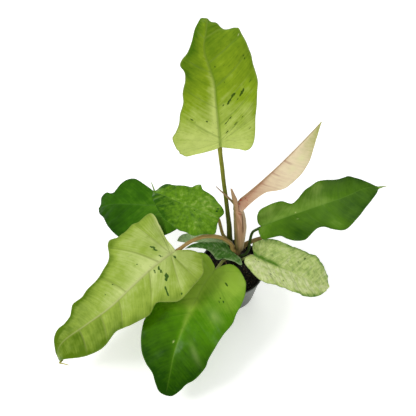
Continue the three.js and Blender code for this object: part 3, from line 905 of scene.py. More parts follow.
    def flat_grid(self, half: Half) -> Places:
        """One half as a grid, vein after vein, each by steps out from the midrib.

        Args:
            half: Which half.

        Returns:
            The grid's places.
        """
        station = np.linspace(0, 1, self.stations * self.finer + 1)
        out = np.linspace(0, 1, self.rows + 1) ** self.row_power
        edge = spaced(self.outline(half), station)
        self.margin_length[half] = walked(edge)[-1]
        past_lobes = np.maximum(0, (station - self.lobes) / (1 - self.lobes))
        root = self.hub + (self.length - self.hub) * past_lobes ** self.vein_power
        bow = np.where(root > self.hub, self.vein_bow * np.abs(edge[:, 0]), 0)
        along = root[:, None] + (edge[:, 1] - root)[:, None] * out - bow[:, None] * np.sin(np.pi * out)
        start = self.drift_at(root)
        across = start[:, None] + (edge[:, 0] - start)[:, None] * out
        across[0] = self.drift_at(along[0])
        veins, steps = along.shape
        return Places(half, across.ravel(), along.ravel(), np.repeat(station, steps), np.tile(out, veins))

    def half_values(self, half: Half) -> dict[str, np.ndarray]:
        """Where the vertices of one half lie and what they carry.

        Args:
            half: Which half.

        Returns:
            Values for each vertex, by name.
        """
        places = self.flat_grid(half)
        number, out = half.value, places.out
        share = np.clip(places.along / self.length, 0, 1)
        offset = np.abs(places.across - self.drift_at(places.along))
        swelling, vein, line, panel = self.main_veins(places)
        bumps = sum(spot.share_at(places) for spot in self.bumps)
        groove_width, groove_depth = self.groove
        groove = hump(offset, groove_width * (1 - 0.75 * share)) * (1 - share)
        rib_left = 1 - smoothstep(0.4 * self.rib_until, self.rib_until, places.along / self.length)
        tone = np.interp(places.along / self.length, *zip(*self.tones[number % len(self.tones)]))
        tone += self.edge_tone * smoothstep(0.7, 1, out) + panel
        # rib_tone, the patches and the bands also carry painted light on some leaves: painted highlights by
        # the midrib, painted sheen and lit patches, and painted shade along a margin.
        tone += self.rib_tone[number] * hump(offset, self.rib_spread) * (1 - 0.6 * share) * rib_left
        tone += sum(spot.share_at(places) for spot in self.patches)
        tone += sum(band.tone_at(places) for band in self.bands)
        beside, line_width = self.rib_line
        on_lobes = places.station < self.lobes
        streak_rows = places.station * self.margin_length[half] / self.streak_mm
        return {
            "points": self.surface(places), "along": places.along, "out": out, "offset": offset,
            "lift": swelling + bumps + self.puckers(places) + self.crinkles(places) - groove_depth * groove,
            "tone": tone, "vein": vein, "rim": smoothstep(0.97, 1.0, out),
            # a fine line beside the veins and the midrib: painted shade in the grooves on most leaves, vein
            # colour on leaf_2
            "vein_line_and_crease_shade": np.maximum(line, self.rib_lines[number] * hump(offset - beside, line_width)),
            "rib": hump(offset, 0.9 * self.rib_radius * (1 - 0.7 * share)) * (share < 0.97) * rib_left,
            "flow": np.where(on_lobes, smoothstep(0.05, 0.6, out), smoothstep(-0.1, 0.15, out)),
            "fleck": np.clip(sum((spot.share_at(places) for spot in self.flecks), 0 * out), 0, 1),
            # pale specks, and on some leaves painted highlights and painted sheen
            "speck_and_sheen": np.clip(1.5 * sum((spot.share_at(places) for spot in self.specks_and_sheen), 0 * out), 0, 1),
            "grain": np.stack([streak_rows, 1.6 * out, np.full_like(out, 7.0 * number)], axis=1),
        }

    def build(self) -> None:
        """Makes the closed blade with its veins, its rib underneath and what its vertices carry."""
        left, right = (self.half_values(half) for half in Half)
        whole = {label: np.concatenate([left[label], right[label]]) for label in left}
        seen: dict[tuple[float, ...], int] = {}
        keys = map(tuple, np.round(whole["points"], 3))
        numbers = np.array([seen.setdefault(key, len(seen)) for key in keys])
        faces: Faces = []
        for half, table in zip(Half, numbers.reshape(2, -1, self.rows + 1)):
            corners = (table[:-1, :-1], table[:-1, 1:], table[1:, 1:], table[1:, :-1])
            quads = np.stack(corners[::-1] if half is Half.LEFT else corners, axis=-1).reshape(-1, 4).tolist()
            faces += [face for face in (tuple(dict.fromkeys(quad)) for quad in quads) if len(face) > 2]
        first = np.unique(numbers, return_index=True)[1]
        picked = {label: values[first] for label, values in whole.items()}
        points, along, lift = picked["points"], picked["along"], picked["lift"]
        normals = unit(self._normals(points, faces))
        thick = self.thickness + (self.rim_thickness - self.thickness) * smoothstep(0.8, 1, picked["out"])
        share = np.clip(along / self.length, 0, 1)
        radius = self.rib_radius * (1 - 0.85 * share) * (1 + 0.5 * np.exp(-np.abs(along) / 10))
        rib = np.sqrt(np.maximum(radius ** 2 - picked["offset"] ** 2, 0)) * smoothstep(1.0, 0.96, share)
        rib = np.where(along < -3, 0, rib)
        over = points + normals * (thick / 2 + lift)[:, None]
        under = points + normals * (lift - thick / 2 - 0.8 * rib)[:, None]
        carried = {label: np.concatenate([picked[label]] * 2) for label in CARRIED}
        carried["under"] = np.repeat([0.0, 1.0], len(points))
        piece = make_piece(
            f"{self.name}_blade", np.vstack([over, under]), closed_sheet(faces, len(points)),
            self.finish.material(), carried)
        stand_in_for(piece, self.name, self.slot)

    @staticmethod
    def _normals(points: np.ndarray, faces: Faces) -> np.ndarray:
        """Sums of the normals of the faces round each point."""
        normals = np.zeros_like(points)
        corners = np.array([face if len(face) == 4 else (*face, face[2]) for face in faces])
        a, b, c, d = (points[corners[:, i]] for i in range(4))
        triangle = (corners[:, 2] == corners[:, 3])[:, None]
        cross = np.where(triangle, np.cross(b - a, c - a), np.cross(c - a, d - b))
        for i in range(4):
            np.add.at(normals, corners[:, i], cross)
        return normals


# Stalks, stem and sheaths

def tube(
    centres: np.ndarray, radii: np.ndarray, sides: int, groove: float = 0.0
) -> tuple[np.ndarray, Faces, dict[str, np.ndarray]]:
    """A closed round rod along points in space.

    Args:
        centres: Its middle, one row for each ring.
        radii: The radius of each ring.
        sides: Points in a ring.
        groove: How deep a channel runs along its upper side, as a share of the radius.

    Returns:
        Points, faces and what the stalk finishes read.
    """
    forward = unit(np.gradient(centres, axis=0))
    side = unit(np.cross(forward, np.array([0.1, 0.2, 1.0])))
    up = np.cross(side, forward)
    angle = around(sides)
    dent = 1 - groove * hump(angle - np.pi / 2, 0.5)
    across = (np.cos(angle) * dent)[None, :, None] * side[:, None, :]
    upward = (np.sin(angle) * dent)[None, :, None] * up[:, None, :]
    rings = centres[:, None, :] + radii[:, None, None] * (across + upward)
    points = np.vstack([rings.reshape(-1, 3), centres[:1], centres[-1:]])
    count = len(centres)
    faces = [face[::-1] for face in closed_faces(count, sides)]
    lengths = walked(centres)
    rows = lengths / STALK_GRAIN_MM
    skin = np.vstack([ring(1, row, angle) for row in rows])
    carried = {
        "along": np.concatenate([np.repeat(lengths / lengths[-1], sides), [0, 1]]),
        "grain": np.vstack([skin, [[0, 0, 0], [0, 0, rows[-1]]]]),
    }
    return points, faces, carried


@dataclass
class Stalk:
    """A leaf stalk, from inside the stem to under the midrib of the leaf that it carries.

    lead is how far before the joint it comes under the midrib, overlap how far it runs on beyond the joint,
    and clearance how far its skin stays below the middle of the blade.
    """

    name: str
    slot: str
    finish: StalkFinish
    radii: tuple[float, ...]
    route: tuple[Point, ...]
    leaf: LeafBlade | None = None
    lead: float = 0
    overlap: float = 4
    clearance: float = 0.9
    flare: float = 0.35
    groove: float = 0.12
    sides: int = 24
    step_mm: float = 2.5

    def knots(self) -> np.ndarray:
        """The route with the two places under the leaf."""
        knots = [*self.route]
        if self.leaf:
            end = self.radii[-1]
            for along, radius in ((-self.lead, end + 1), (self.overlap, end)):
                place = np.array([float(along)])
                _, side, up = self.leaf.frame_at(place)
                aside = side * self.leaf.drift_at(place)
                knots.append((self.leaf.midrib_at(place) + aside - up * (radius + self.clearance))[0])
        return np.array(knots, float)

    def build(self) -> None:
        """Makes the rod with its wider clasping foot and a slight swelling below the blade."""
        knots = self.knots()
        length = walked(knots)[-1]
        share = np.linspace(0, 1, int(length / self.step_mm) + 2)
        radii = read_evenly(self.radii, share) * (1 + self.flare * np.exp(-share * length / 7))
        if self.leaf:
            radii = radii * (1 + 0.1 * hump((1 - share) * length - 9, 6))
        points, faces, carried = tube(route_points(knots, share), radii, self.sides, self.groove)
        piece = make_piece(f"{self.name}_rod", points, faces, self.finish.material(), carried)
        stand_in_for(piece, self.name, self.slot)


@dataclass
class DriedTip:
    """The drip tip of a leaf, dried to a thin curled thread."""

    leaf: LeafBlade
    offsets: tuple[Point, ...]
    radii: tuple[float, ...]
    finish: StalkFinish = StalkFinish("dried drip tip", "6E7A30", "C4BC58", "D8D080", 0.6, 0.15)
    rings: int = 24
    sides: int = 10

    def build(self) -> None:
        """Makes the thread, which grows out of the blade's own tip."""
        across, along, one = (np.array([n], float) for n in (self.leaf.drift[-1], self.leaf.length, 1))
        tip = self.leaf.surface(Places(Half.LEFT, across, along, one, one))
        share = np.linspace(0, 1, self.rings)
        centres = route_points(tip + np.array(self.offsets, float), share)
        points, faces, carried = tube(centres, read_evenly(self.radii, share), self.sides)
        piece = make_piece(f"{self.leaf.name}_dried_tip", points, faces, self.finish.material(), carried)
        stand_in_for(piece, None, self.leaf.slot)


@dataclass
class Stem:
    """The short thick stem, ringed with the scars of fallen leaves."""

    axis: tuple[Point, ...] = ((8, 15, 44), (8, 15, 72), (8.4, 13, 98), (9, 10.5, 122))
    radii: tuple[float, ...] = (4.5, 6.6, 6.5, 6.2)
    scar_mm: float = 8.5
    scar_height: float = 0.5
    finish: StalkFinish = StalkFinish("scarred stem skin", "2A2212", "4A3E20", "6E5C34", 0.65, 0.35)
    rings: int = 90
    sides: int = 36

    def build(self) -> None:
        """Makes the stem with a low swelling at each scar."""
        share = np.linspace(0, 1, self.rings)
        centres = route_points(np.array(self.axis, float), share)
        height = share * np.linalg.norm(centres[-1] - centres[0])
        scars = self.scar_height * (np.cos(2 * np.pi * height / self.scar_mm) ** 8 - 0.6)
        points, faces, carried = tube(centres, read_evenly(self.radii, share) + scars, self.sides)
        piece = make_piece("stem_ringed", points, faces, self.finish.material(), carried)
        stand_in_for(piece, "stem", "stem")


@dataclass
class Sheath:
    """A papery sheath: a rolled sheet given by its sections from the foot up.

    A section is a middle in space, a radius, and the angles at which the sheet starts and ends. slit lists
    places along the sheath, from 0 to 1, with the share of its width at which it gapes there. blush is the
    place of its red mark, and dried how brown its edges are.
    """

    name: str
    sections: tuple[tuple[float, float, float, float, float, float], ...]
    slit: tuple[Pair, ...] = ()
    slit_width: float = 0.028
    blush: Pair = (0, 0)
    blush_size: Pair = (0.02, 0.07)
    finish: SheathFinish = SheathFinish()
    thickness: float = 0.8
    dried: float = 0.35
    ribs: int = 9
    rib_height: float = 0.05
    rows: int = 80
    columns: int = 36

    def build(self) -> None:
        """Makes the sheet with fine ribs along it, thinning to its edges."""
        table = np.array(self.sections, float)
        share = np.linspace(0, 1, self.rows + 1)
        over = np.linspace(0, 1, self.columns + 1)
        inwards = np.minimum(over, 1 - over)
        centre = spline(table[:, :3], share)[:, None, :]
        radius, start, end = (read_evenly(column, share)[:, None] for column in table.T[3:])
        angle = np.radians(start + (end - start) * over)
        outwards = np.stack([np.cos(angle), np.sin(angle), 0 * angle], axis=-1)
        ribs = self.rib_height * np.sin(2 * np.pi * self.ribs * over) * np.minimum(1, radius / 4)
        thick = self.thickness * (0.45 + 0.55 * np.minimum(1, 8 * inwards)) * np.minimum(1, radius / 1.5)
        gap = self._gap(share[:, None], over)
        middle = radius + ribs - 0.9 * gap
        skins = [centre + (middle + side * thick)[..., None] * outwards for side in (0.5, -0.5)]
        wide = self.columns + 1
        corners = [row * wide + column for row in range(self.rows) for column in range(self.columns)]
        faces = closed_sheet([(a, a + 1, a + wide + 1, a + wide) for a in corners], wide * (self.rows + 1))
        points = np.vstack([skin.reshape(-1, 3) for skin in skins])
        carried = self._carried(share, over, angle, gap)
        piece = make_piece(f"{self.name}_sheet", points, faces, self.finish.material(), carried)
        stand_in_for(piece, self.name, "sheath")

    def _gap(self, along: np.ndarray, over: np.ndarray) -> np.ndarray:
        """How far the sheath gapes, from 0 to 1, at places along it and across it."""
        if not self.slit:
            return np.zeros(np.broadcast_shapes(along.shape, over.shape))
        places, middles = zip(*self.slit)
        begun = smoothstep(places[0] - 0.04, places[0] + 0.02, along)
        ended = smoothstep(places[-1] - 0.02, places[-1] + 0.02, along)
        beside = over - np.interp(along, places, middles)
        return np.minimum(1, 1.3 * begun * (1 - ended) * hump(beside, self.slit_width))

    def _carried(
        self, share: np.ndarray, over: np.ndarray, angle: np.ndarray, gap: np.ndarray
    ) -> dict[str, np.ndarray]:
        """What the vertices of both skins carry.

        Args:
            share: Places along the sheath.
            over: Places across it.
            angle: The direction of each vertex from the middle, one row for each place along.
            gap: How far the sheath gapes at each vertex.

        Returns:
            Values for each vertex, by name.
        """
        along = np.repeat(share, len(over))
        edge = self.dried * (1 - smoothstep(0, 0.08, np.minimum(over, 1 - over)))
        tall, broad = self.blush_size
        mark = np.hypot((share[:, None] - self.blush[0]) / tall, (over - self.blush[1]) / broad)
        skin = {
            "along": along,
            "grain": np.stack([np.tile(self.ribs * over, len(share)), 0 * along, 2.5 * along], axis=1),
            # the dried brown edges, and along the slit painted shade of the gap
            "edge": np.maximum(gap, edge).ravel(),
            "olive": smoothstep(0.05, 0.85, -np.cos(angle)).ravel(),
            # where the painted highlight lies: the side that faces +X
            "pale": smoothstep(0.45, 0.95, np.cos(angle)).ravel(),
            "blush": hump(mark, 1).ravel() * (self.blush[0] > 0),
        }
        return {label: np.concatenate([values] * 2) for label, values in skin.items()}


# Pot and potting mix

@dataclass
class NurseryPot:
    """The round tapering pot with a small lip and five drain holes."""

    height: float = 82
    rim_radius: float = 55
    base_radius: float = 42
    wall: float = 1.6
    floor: float = 2
    lip_height: float = 5
    lip_proud: float = 1.2
    sides: int = 144
    drain_count: int = 5
    drain_radius: float = 5
    drain_circle: float = 27
    drain_sides: int = 32
    finish: PotFinish = PotFinish()

    def wall_radius(self, height: float) -> float:
        """The wall's outer radius at a height."""
        return self.base_radius + (self.rim_radius - self.lip_proud - self.base_radius) * height / self.height

    def profile(self) -> list[tuple[float, float, float]]:
        """Radius, height and how far inside each point is, from the floor's middle round to its top."""
        lip = self.height - self.lip_height
        base = self.wall_radius(0)
        inner = self.wall_radius(self.height) - self.wall
        return [
            (base - 1.0, 0, 0), (base - 0.3, 0.3, 0), (base, 1, 0),
            *((self.wall_radius(z), z, 0) for z in (6, 20, 40, 60, lip - 1.2)),
            (self.wall_radius(lip - 0.5) + 0.5, lip - 0.5, 0), (self.rim_radius - 0.15, lip, 0),
            (self.rim_radius, lip + 0.6, 0), (self.rim_radius, self.height - 0.8, 0),
            (self.rim_radius - 0.2, self.height - 0.25, 0.5), (self.rim_radius - 0.6, self.height, 1),
            (inner + 0.3, self.height, 1), (inner, self.height - 0.3, 1),
            *((self.wall_radius(z) - self.wall, z, 1) for z in (70, 40, self.floor)),
        ]

    def build(self) -> None:
        """Turns the profile, cuts the drain holes and dresses the pot."""
        profile = self.profile()
        rings = [ring(radius, height, around(self.sides)) for radius, height, _ in profile]
        points = np.vstack([*rings, [[0, 0, 0], [0, 0, self.floor]]])
        inside = np.array([*np.repeat([row[2] for row in profile], self.sides), 0, 1], float)
        faces = closed_faces(len(rings), self.sides)
        whole = make_piece("pot_whole", points, faces, self.finish.material(), {"inside": inside}, 50)
        cutter = self._drills()
        drilled = whole.modifiers.new("drain holes", "BOOLEAN")
        drilled.operation = "DIFFERENCE"
        drilled.solver = "EXACT"
        drilled.object = cutter
        piece = plain_copy(whole, "pot_moulded")
        bpy.data.objects.remove(cutter)
        stand_in_for(piece, "pot", "pot")

    def _drills(self) -> bpy.types.Object:
        """One mesh of the round cutters for the drain holes."""
        rods: list[np.ndarray] = []
        faces: Faces = []
        reach = 2 * self.floor
        for turn in around(self.drain_count) + np.pi / self.drain_count:
            x, y = self.drain_circle * np.cos(turn), self.drain_circle * np.sin(turn)
            axis = np.linspace((x, y, -reach), (x, y, reach), 3)
            rod, skin, _ = tube(axis, np.full(3, self.drain_radius), self.drain_sides)
            faces += [tuple(number + len(rods) * len(rod) for number in face) for face in skin]
            rods.append(rod)
        return make_piece("drain_cutters", np.vstack(rods), faces, bpy.data.materials.new("cut plastic"))


@dataclass(frozen=True)
class GrainLayer:
    """One kind of grain, strewn over the mix.

    proportions are its lengths as shares of its size, and tilt is how far it tips over, in radians.
    """

    kind: Grain
    size_mm: float
    per_square_cm: float
    seed: int
    lift_mm: float
    proportions: Point
    finish: PlainFinish
    tilt: float = math.tau


@dataclass
class PottingMix:
    """The fill of peaty mix, strewn with crumbs, bark and a few grains of perlite."""

    pot: NurseryPot
    top: float = 72
    mound: float = 2.2
    edge_drop: float = 1.5
    sides: int = 120
    rings: int = 44
    wall_gap: float = 0.45
    floor_gap: float = 0.3
    finish: PlainFinish = PlainFinish(
        "moist peaty mix", "080605", "1C1510", patch_mm=3, roughness=0.95, relief_mm=1)
    layers: tuple[GrainLayer, ...] = (
        GrainLayer(
            Grain.CRUMB, size_mm=1.5, per_square_cm=26, seed=3, lift_mm=0.3, proportions=(1, 1, 0.75),
            finish=PlainFinish("peat crumbs", "070504", "1E1710", patch_mm=5, roughness=0.95)),
        GrainLayer(
            Grain.BARK, size_mm=1.5, per_square_cm=2.2, seed=11, lift_mm=0.6, proportions=(1.9, 0.9, 0.4),
            finish=PlainFinish(
                "pine bark chips", "1A1008", "4A321C", patch_mm=2, roughness=0.8, relief_mm=0.3),
            tilt=0.5),
        GrainLayer(
            Grain.PERLITE, size_mm=0.7, per_square_cm=0.6, seed=23, lift_mm=0.7, proportions=(1, 1, 0.9),
            finish=PlainFinish("expanded perlite", "A8A090", "DCD6C6", patch_mm=1, roughness=0.8)),
    )

    def inner(self, height: float) -> float:
        """The radius of the fill at a height."""
        return self.pot.wall_radius(height) - self.pot.wall - self.wall_gap

    def surface(self, radius: float, angle: np.ndarray) -> np.ndarray:
        """Height of the mix above the pot's foot."""
        share = radius / self.inner(self.top)
        lumps = np.sin(3 * angle + 1) * np.sin(5 * share + 0.6) + 0.6 * np.sin(7 * angle + 4 * share)
        crumbly = 0.35 * np.sin(radius * 0.9 + 2 * np.sin(9 * angle)) * np.sin(13 * angle + radius * 0.3)
        return self.top + self.mound * (1 - share ** 2) + 0.7 * lumps * share + crumbly * min(1, radius / 8)

    def build(self) -> None:
        """Makes the fill, then strews each kind of grain over its top."""
        angle = around(self.sides)
        floor = self.pot.floor + self.floor_gap
        edge = self.top - self.edge_drop
        rims = ((self.inner(floor) - 1, floor), (self.inner(floor), floor + 1), (self.inner(edge), edge))
        radii = [(self.inner(edge) - 1) * step / self.rings for step in range(self.rings, 0, -1)]
        top = np.vstack([ring(radius, self.surface(radius, angle), angle) for radius in radii])
        wall = np.vstack([ring(radius, height, angle) for radius, height in rims])
        points = np.vstack([wall, top, [[0, 0, floor], [0, 0, self.top + self.mound]]])
        faces = closed_faces(len(rims) + self.rings, self.sides)
        stand_in_for(make_piece("soil_fill", points, faces, self.finish.material()), "soil", "soil")
        for layer in self.layers:
            self._strew(top, layer)

    def _strew(self, top_points: np.ndarray, layer: GrainLayer) -> None:
        """Strews one kind of grain over the top of the mix, but not on its outermost ring.

        Args:
            top_points: The rings of the top, from the edge inwards.
            layer: What to strew.
        """
        material = layer.finish.material()
        bed = make_piece("grain_bed", top_points, ring_faces(self.rings, self.sides, 1), material)
        tree, sockets = grain_tree(layer)
        modifier = bed.modifiers.new("grains", "NODES")
        modifier.node_group = tree
        values = {
            "Grain Size": layer.size_mm * MM, "Grains": layer.per_square_cm * 1e4, "Seed": layer.seed,
            "Lift": layer.lift_mm * MM, "Finish": material,
        }
        for label, value in values.items():
            modifier[sockets[label]] = value
        bed.update_tag()
        stand_in_for(plain_copy(bed, f"soil_{layer.kind.value}"), None, "soil")


def grain_tree(layer: GrainLayer) -> tuple[bpy.types.NodeTree, dict[str, str]]:
    """A Geometry Nodes tree that strews uneven grains over a surface.

    Args:
        layer: The kind of grain, with its proportions and how far it tilts.

    Returns:
        The tree, and the identifier of each named input.
    """
    tree = bpy.data.node_groups.new(f"{layer.kind.value} grains", "GeometryNodeTree")
    kinds = {
        "Bed": "NodeSocketGeometry", "Grain Size": "NodeSocketFloat", "Grains": "NodeSocketFloat",
        "Seed": "NodeSocketInt", "Lift": "NodeSocketFloat", "Finish": "NodeSocketMaterial",
    }
    sockets = {
        label: tree.interface.new_socket(label, in_out="INPUT", socket_type=kind).identifier
        for label, kind in kinds.items()
    }
    tree.interface.new_socket("Grains", in_out="OUTPUT", socket_type="NodeSocketGeometry")
    given = add_node(tree, "NodeGroupInput").outputs
    seed = given["Seed"]
    strewn = {"Mesh": given["Bed"], "Density": given["Grains"], "Seed": seed}
    points = add_node(tree, "GeometryNodeDistributePointsOnFaces", strewn)
    pebble = add_node(tree, "GeometryNodeMeshIcoSphere", {"Radius": given["Grain Size"], "Subdivisions": 2})
    shrunk = add_node(tree, "GeometryNodeTransform", {"Geometry": pebble, "Scale": layer.proportions})
    turns = {0: (0, 0, 0), 1: (layer.tilt, layer.tilt, math.tau), "Seed": seed}
    turn = add_node(tree, "FunctionNodeRandomValue", turns, data_type="FLOAT_VECTOR")
    size = add_node(tree, "FunctionNodeRandomValue", {2: 0.35, 3: 1.15, "Seed": seed}, data_type="FLOAT")
    raised = add_node(tree, "ShaderNodeCombineXYZ", {"Z": given["Lift"]})
    placed = add_node(tree, "GeometryNodeSetPosition", {"Geometry": points, "Offset": raised})
    grains = add_node(
        tree, "GeometryNodeInstanceOnPoints",
        {"Points": placed, "Instance": shrunk, "Rotation": turn, "Scale": size.outputs[1]})
    real = add_node(tree, "GeometryNodeRealizeInstances", {"Geometry": grains})
    where = add_node(tree, "GeometryNodeInputPosition")
    rough = add_node(tree, "ShaderNodeTexNoise", {"Vector": where, "Scale": 900.0, "Detail": 1.0})
    middle = {0: rough.outputs["Color"], 1: (0.5, 0.5, 0.5)}
    centred = add_node(tree, "ShaderNodeVectorMath", middle, operation="SUBTRACT")
    reach = add_node(tree, "ShaderNodeMath", {0: given["Grain Size"], 1: 1.1}, operation="MULTIPLY")
    jagged = add_node(tree, "ShaderNodeVectorMath", {0: centred, "Scale": reach}, operation="SCALE")
    shaped = add_node(tree, "GeometryNodeSetPosition", {"Geometry": real, "Offset": jagged})
    dressed = add_node(tree, "GeometryNodeSetMaterial", {"Geometry": shaped, "Material": given["Finish"]})
    add_node(tree, "NodeGroupOutput", {0: dressed})
    return tree, sockets


# Studio

@dataclass(frozen=True)
class Lamp:
    """A large soft round lamp, with its place and its width in metres."""

    name: str
    place: Point
    width: float
    watts: float

    def hang(self, aim: Point) -> None:
        """Puts the lamp in the scene, shining on a place given in metres."""
        data = bpy.data.lights.new(self.name, "AREA")
        data.shape = "DISK"
        data.size = self.width
        data.energy = self.watts
        lamp = bpy.data.objects.new(self.name, data)
        lamp.location = self.place
        lamp.rotation_mode = "QUATERNION"
        lamp.rotation_quaternion = (Vector(aim) - Vector(self.place)).to_track_quat("-Z", "Y")
        bpy.context.scene.collection.objects.link(lamp)


@dataclass
class Studio:
    """The camera at the photograph's angle, a pale floor and soft lights."""

    aim: Point = (-40.5, 0, 249)
    distance: float = 851
    elevation_degrees: float = 53.5
    lens_mm: float = 50
    sensor_mm: float = 36
    floor_size: float = 12.0
    floor_gap_mm: float = 0.2
    floor_glow: float = 0.4
    zenith: float = 0.8
    horizon: float = 0.3
    lamp_aim: Point = (-0.03, 0, 0.2)
    lamps: tuple[Lamp, ...] = (
        Lamp("window lamp", (-1.4, -0.6, 1.85), width=0.65, watts=18),
        Lamp("rear lamp", (0.2, 1.35, 1.9), width=1, watts=7),
    )

    def build(self) -> None:
        """Sets up everything that isn't part of the plant."""
        self._camera()
        self._floor()
        self._surround()
        for lamp in self.lamps:
            lamp.hang(self.lamp_aim)

    def _camera(self) -> None:
        """The camera, looking down and along +Y."""
        data = bpy.data.cameras.new("camera")
        data.lens = self.lens_mm
        data.sensor_width = self.sensor_mm
        data.clip_start = 0.01
        camera = bpy.data.objects.new("camera", data)
        down = math.radians(self.elevation_degrees)
        away = Vector((0, -math.cos(down), math.sin(down))) * self.distance
        camera.location = (Vector(self.aim) + away) * MM
        camera.rotation_euler = (math.pi / 2 - down, 0, 0)
        bpy.context.scene.collection.objects.link(camera)
        bpy.context.scene.camera = camera

    def _floor(self) -> None:
        """A wide matt floor just under the pot."""
        half = self.floor_size / 2 / MM
        corners = np.array([[-half, -half], [half, -half], [half, half], [-half, half]])
        corners = np.column_stack([corners, np.full(4, -self.floor_gap_mm)])
        paper = PlainFinish("lit white table", "F4F4F4", "F8F8F8", patch_mm=900, roughness=0.9).material()
        shader = paper.node_tree.nodes["Principled BSDF"]
        shader.inputs["Emission Color"].default_value = linear("FFFFFF")
        shader.inputs["Emission Strength"].default_value = self.floor_glow
        make_piece("floor", corners, [(0, 1, 2, 3)], paper)

    def _surround(self) -> None:
        """An even pale surround, brighter overhead than at the horizon."""
        world = bpy.data.worlds.new("studio surround")
        world.use_nodes = True
        tree = world.node_tree
        background = tree.nodes["Background"]
        place = add_node(tree, "ShaderNodeTexCoord").outputs["Generated"]
        height = add_node(tree, "ShaderNodeSeparateXYZ", {"Vector": place}).outputs["Z"]
        spread = {"From Min": 0.0, "From Max": 0.95, "To Min": self.horizon, "To Max": self.zenith}
        light = add_node(
            tree, "ShaderNodeMapRange", {"Value": height, **spread}, interpolation_type="SMOOTHSTEP")
        background.inputs["Color"].default_value = linear("FFFFFF")
        tree.links.new(light.outputs["Result"], background.inputs["Strength"])
        bpy.context.scene.world = world
        bpy.context.scene.view_settings.view_transform = "Standard"


# The plant's own colours and sizes

LIME_LEAF = LeafFinish(
    "lime leaf skin", dark="4C7206", middle="8AA61E", light="C8D874", vein="B0C468", rib="76902E",
    fleck="2C4A06", under="8FA656", rim="8C9C50", vein_line_and_crease_shade="587818", streak=0.24, freckle=0.35,
    crease_show=0.42)
CREAM_LEAF = LeafFinish(
    "young cream leaf skin", dark="C09272", middle="F6E4BC", light="B4B862", vein="B88468", rib="8E7450",
    fleck="A83C2C", under="D8C49C", rim="BCA878", vein_line_and_crease_shade="A4664C", streak=0.16, mottle=0.1, vein_show=0.2,
    crease_show=0.55, roughness=0.34, gloss=0.3)
DARK_LEAF = LeafFinish(
    "dark green leaf skin", dark="274C06", middle="507A14", light="8EAE4E", vein="6A9234", rib="5A822A",
    fleck="1E4A0A", under="6A8848", rim="446A1C", vein_line_and_crease_shade="406816", streak=0.14, vein_show=0.12,
    rib_show=0.5, gloss=0.08, mottle_mm=18)
PALE_LEAF = LeafFinish(
    "pale variegated leaf skin", dark="5E8A28", middle="C2D47E", light="F0F4C0", vein="C4D098", rib="4E7022",
    fleck="3A5A1C", under="A2B47C", rim="6A8434", vein_line_and_crease_shade="8CA658", streak=0.36, freckle=0.5, mottle=0.4,
    rib_show=0.35, roughness=0.3, gloss=0.2, mottle_mm=8)
FRESH_LEAF = LeafFinish(
    "glossy fresh leaf skin", dark="1C4400", middle="508602", light="94B83C", vein="6A9430", rib="86A83E",
    fleck="24500A", under="6A8C3C", rim="4A7418", vein_line_and_crease_shade="2A5204", streak=0.13, mottle=0.14, vein_show=0.05,
    crease_show=0.25, rib_show=0.4, roughness=0.24, gloss=0.08)
PALE_LIME_LEAF = LeafFinish(
    "pale lime leaf skin", dark="54720C", middle="94AC42", light="C6D484", vein="C4CE88", rib="B8BC80",
    fleck="23500F", under="A4B070", rim="7C9040", vein_line_and_crease_shade="6E7A30", streak=0.24, freckle=0.25,
    crease_show=0.55, gloss=0.06)
DEEP_LEAF = LeafFinish(
    "deep green leaf skin", dark="163A02", middle="346408", light="5C8C1E", vein="3C6A1C", rib="4E7430",
    fleck="163A0A", under="4C7038", rim="244E14", vein_line_and_crease_shade="26500E", streak=0.2, mottle=0.25, rib_show=0.4,
    gloss=0.05)
MOTTLED_LEAF = LeafFinish(
    "mottled leaf skin", dark="2A5602", middle="628E18", light="AAC064", vein="7C9C4C", rib="7A9A4C",
    fleck="1E480C", under="74924C", rim="44701A", vein_line_and_crease_shade="416A16", streak=0.2, freckle=0.5, mottle=0.44,
    rib_show=0.25, roughness=0.3, gloss=0.08, mottle_mm=7)
BLUE_LEAF = LeafFinish(
    "dull blue-green leaf skin", dark="1E4C0C", middle="4C7A2E", light="A4BC88", vein="789664", rib="64824E",
    fleck="1A3C16", under="64805A", rim="88A070", vein_line_and_crease_shade="2A5224", streak=0.4, mottle=0.3, rib_show=0.3,
    gloss=0.06, mottle_mm=7)
GREY_LEAF = LeafFinish(
    "dull grey-green leaf skin", dark="5E8048", middle="86A06C", light="BECCA4", vein="98AE80", rib="8CA474",
    fleck="4A6E3A", under="8AA074", rim="9CB084", vein_line_and_crease_shade="6E8A58", streak=0.45, mottle=0.25, rib_show=0.4)


